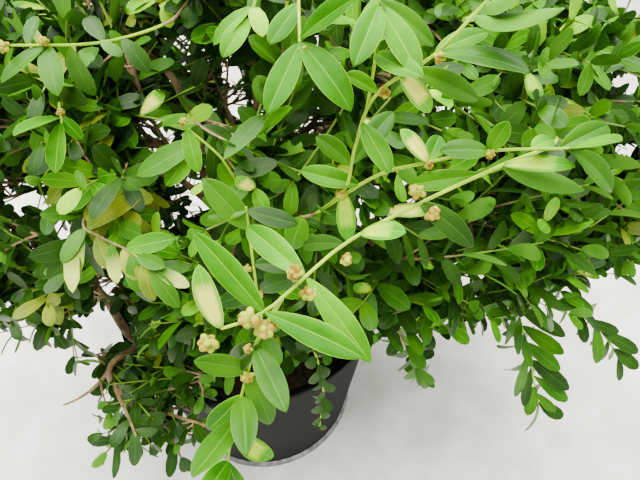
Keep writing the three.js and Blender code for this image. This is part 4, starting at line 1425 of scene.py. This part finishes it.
def leaf_piece(mass, leaves):
    """One mesh of a mass's leaves, with the near template for those close to the camera."""
    near = np.linalg.norm(leaves["root"] - CAMERA_PLACE, axis=1) < NEAR_DISTANCE
    offset, points, places, faces, which = 0, [], [], [], []
    for kept, is_near in ((~near, False), (near, True)):
        if not kept.any():
            continue
        more_points, more_places, more_faces, more_which = leaf_arrays(chosen(leaves, kept), is_near)
        points.append(more_points)
        places.append(more_places)
        faces += [face + offset for face in more_faces]
        which.append(more_which)
        offset += len(more_points)
    points, places, which = (np.concatenate(arrays) for arrays in (points, places, which))
    triangles = sum(len(face) * (face.shape[1] - 2) for face in faces)
    print(f"{mass}: {len(near)} leaves, {near.sum()} near, {triangles} triangles")
    return mesh_piece(f"foliage_{mass}_leaves", points, faces, LEAF_FINISHES, which, LEAF_CREASE, places)


for index, mass in enumerate(MASS_NAMES):
    leaves = mass_leaves(mass, np.random.default_rng(LEAF_SEED + index))
    keep_piece(leaf_piece(mass, leaves), "leaves", "foliage_" + mass)

# %% [markdown]
# ## Bud clusters
# In spring box carries its small tan flower buds in tight heads where the leaves join the stem. They are
# what one notices on the long shoot. Each head is a handful of little egg shapes round one middle one.

# %% Bud clusters
BUD_HEADS = [  # shoot, share along it, offset of the head from it, radius of one bud
    ("long_shoot", 0.76, (-2, 0, 5), 2.0), ("long_shoot", 0.76, (4, -3, -2), 2.0),
    ("long_shoot", 0.87, (3, -3, -1), 1.5), ("long_shoot", 0.91, (-3, -2, 4), 1.9),
    ("long_shoot", 0.91, (1, -3, -4), 2.1), ("long_shoot", 0.96, (-4, -3, 1), 2.2),
    ("long_shoot", 0.96, (0, -3, -4), 2.3), ("long_shoot", 1.0, (-4, -2, -4), 2.1),
    ("long_shoot_side", 0.27, (-2, -2, 1), 1.2), ("long_shoot_side", 0.43, (0, -2, 0), 1.7),
    ("forked_shoot", 0.55, (-1, -2, 0), 1.7), ("forked_shoot", 0.79, (2, -2, 1), 1.5),
    ("forked_shoot", 0.9, (1, -2, 0), 1.4), ("forked_shoot_right", 0.53, (0, -2, 0), 1.3),
    ("forked_shoot_right", 0.74, (0, -2, 0), 1.4), ("top_sprig", 1.0, (1, -2, -2), 1.3),
    ("woody_twig", 0.91, (0, -1, 2), 1.6), ("woody_twig", 1.0, (0, -1, 0), 1.8),
    ("left_sprig", 0.9, (1, -1, 1), 1.4), ("middle_sprig", 1.0, (-1, 0, 3), 1.4),
    ("upright_sprig", 0.84, (-2, -2, 0), 1.2), ("upright_sprig", 0.75, (1, -2, 0), 1.4),
]
EGG_RINGS = 6
EGG_SIDES = 8
EGG_HEIGHT = 1.25
EGG_NARROWING = 0.12
POLE_ANGLE = 0.12
BUD_RINGS = [(1, 0), (5, 52), (4, 100)]  # buds in the ring, their lean from the middle one in degrees


def egg():
    """Points and quads of a round shape of radius 1 that narrows to its top, closed at both poles."""
    angle = np.linspace(POLE_ANGLE, np.pi - POLE_ANGLE, EGG_RINGS)[:, None]
    radius = np.sin(angle) * (1 - EGG_NARROWING * np.cos(angle))
    points = turned(np.hstack([radius, EGG_HEIGHT * np.cos(angle)]), EGG_SIDES)
    quads = grid_faces(EGG_RINGS, EGG_SIDES)[:, ::-1]
    corners = np.arange(EGG_SIDES)[None]
    return points.reshape(-1, 3), [quads, corners, (EGG_RINGS - 1) * EGG_SIDES + corners[:, ::-1]]


def bud_head(lead, share, offset, size, rng):
    """One egg in the middle, five leaning out round it and four below them, on one side of the stem."""
    centre = point_on(lead_paths[lead], share) + np.array(offset)
    out = unit(np.array(offset, float))
    across = unit(np.cross(out, heading_on(lead_paths[lead], share)))
    second = np.cross(out, across)
    points, faces = egg()
    buds = []
    for ring, (count, ring_lean) in enumerate(BUD_RINGS):
        for number in range(count):
            turn = (number + ring) / count * 2 * np.pi + ring + rng.uniform(-0.2, 0.2)
            lean = np.radians(ring_lean + rng.uniform(-8, 8))
            axis = out * np.cos(lean) + (across * np.cos(turn) + second * np.sin(turn)) * np.sin(lean)
            side = unit(np.cross(axis, across + second * 0.3))
            frame_rows = np.array([side, np.cross(axis, side), axis])
            radius = size * rng.uniform(0.6, 0.76)
            middle = centre + axis * size * rng.uniform(0.75, 0.9)
            tone = int(rng.random() < 0.4)
            buds.append((middle + points @ frame_rows * radius, faces, tone))
    return buds


bud_tan = finish("bud_tan", "c0aa34", "75611a", 2.5, 0.7, 0.2, 1.5, gloss=0.1)
bud_green = finish("bud_green", "bcc62c", "7c8a16", 2.5, 0.7, 0.2, 1.5, gloss=0.1)
bud_rng = np.random.default_rng(5)
for mass in MASS_NAMES:
    heads = [bud_head(*head, bud_rng) for head in BUD_HEADS if head[0] in leads_of[mass]]
    if heads:
        points, faces, which = joined([bud for head in heads for bud in head])
        piece = mesh_piece(f"foliage_{mass}_buds", points, faces, [bud_tan, bud_green], which)
        keep_piece(piece, "leaves", "foliage_" + mass)
print(len(BUD_HEADS), "bud heads")

# %% [markdown]
# ## Floor, light and camera
# The shrub stands on pale concrete under an overcast sky. A plain floor with a soft mottle stands in for
# it. An even sky fills the shade inside the crown, and one wide lamp above gives the leaves their soft
# white shine and leaves the inside of the crown dark.

# %% Floor, light and camera
concrete = finish("pale_concrete", "fffbf0", "eae2d2", 60, 0.75, 0.4, 6)
FLOOR_HALF = 4000
FLOOR_TOP = -0.6
floor_corners = [(-1, -1), (1, -1), (1, 1), (-1, 1)]
floor_points = np.array([[x * FLOOR_HALF, y * FLOOR_HALF, FLOOR_TOP] for x, y in floor_corners])
floor = mesh_piece("floor", floor_points, [np.array([[0, 1, 2, 3]])], [concrete])

SKY_COLOUR = (0.9, 0.95, 1.0, 1.0)
SKY_STRENGTH = 1.08
world = bpy.data.worlds.new("overcast")
world.use_nodes = True
world.node_tree.nodes["Background"].inputs["Color"].default_value = SKY_COLOUR
world.node_tree.nodes["Background"].inputs["Strength"].default_value = SKY_STRENGTH
bpy.context.scene.world = world


def soft_lamp(name, place, aim, size, power, colour):
    """A square lamp that faces a point."""
    light = bpy.data.lights.new(name, "AREA")
    light.shape = "SQUARE"
    light.size = size
    light.energy = power
    light.color = colour
    lamp = bpy.data.objects.new(name, light)
    lamp.location = place
    way = np.array(aim) - np.array(place)
    lamp.rotation_euler = (np.arctan2(np.hypot(way[0], way[1]), -way[2]), 0, np.arctan2(-way[0], way[1]))
    bpy.context.scene.collection.objects.link(lamp)


LAMP_PLACE = (-0.1, 0.2, 2.4)
LAMP_AIM = (0, 0, 0.3)
LAMP_SIZE = 2.6
LAMP_POWER = 310
soft_lamp("sky_patch", LAMP_PLACE, LAMP_AIM, LAMP_SIZE, LAMP_POWER, (1.0, 0.985, 0.95))
PHOTO_FOCAL = 462
PHOTO_WIDTH = 640
SENSOR_WIDTH = 36
CAMERA_PITCH = 45
camera_data = bpy.data.cameras.new("photo_camera")
camera_data.sensor_width = SENSOR_WIDTH
camera_data.lens = SENSOR_WIDTH * PHOTO_FOCAL / PHOTO_WIDTH
camera_data.clip_start = 0.01
camera = bpy.data.objects.new("photo_camera", camera_data)
camera.location = CAMERA_PLACE / 1000
camera.rotation_euler = (np.radians(CAMERA_PITCH), 0, 0)
bpy.context.scene.collection.objects.link(camera)
bpy.context.scene.camera = camera
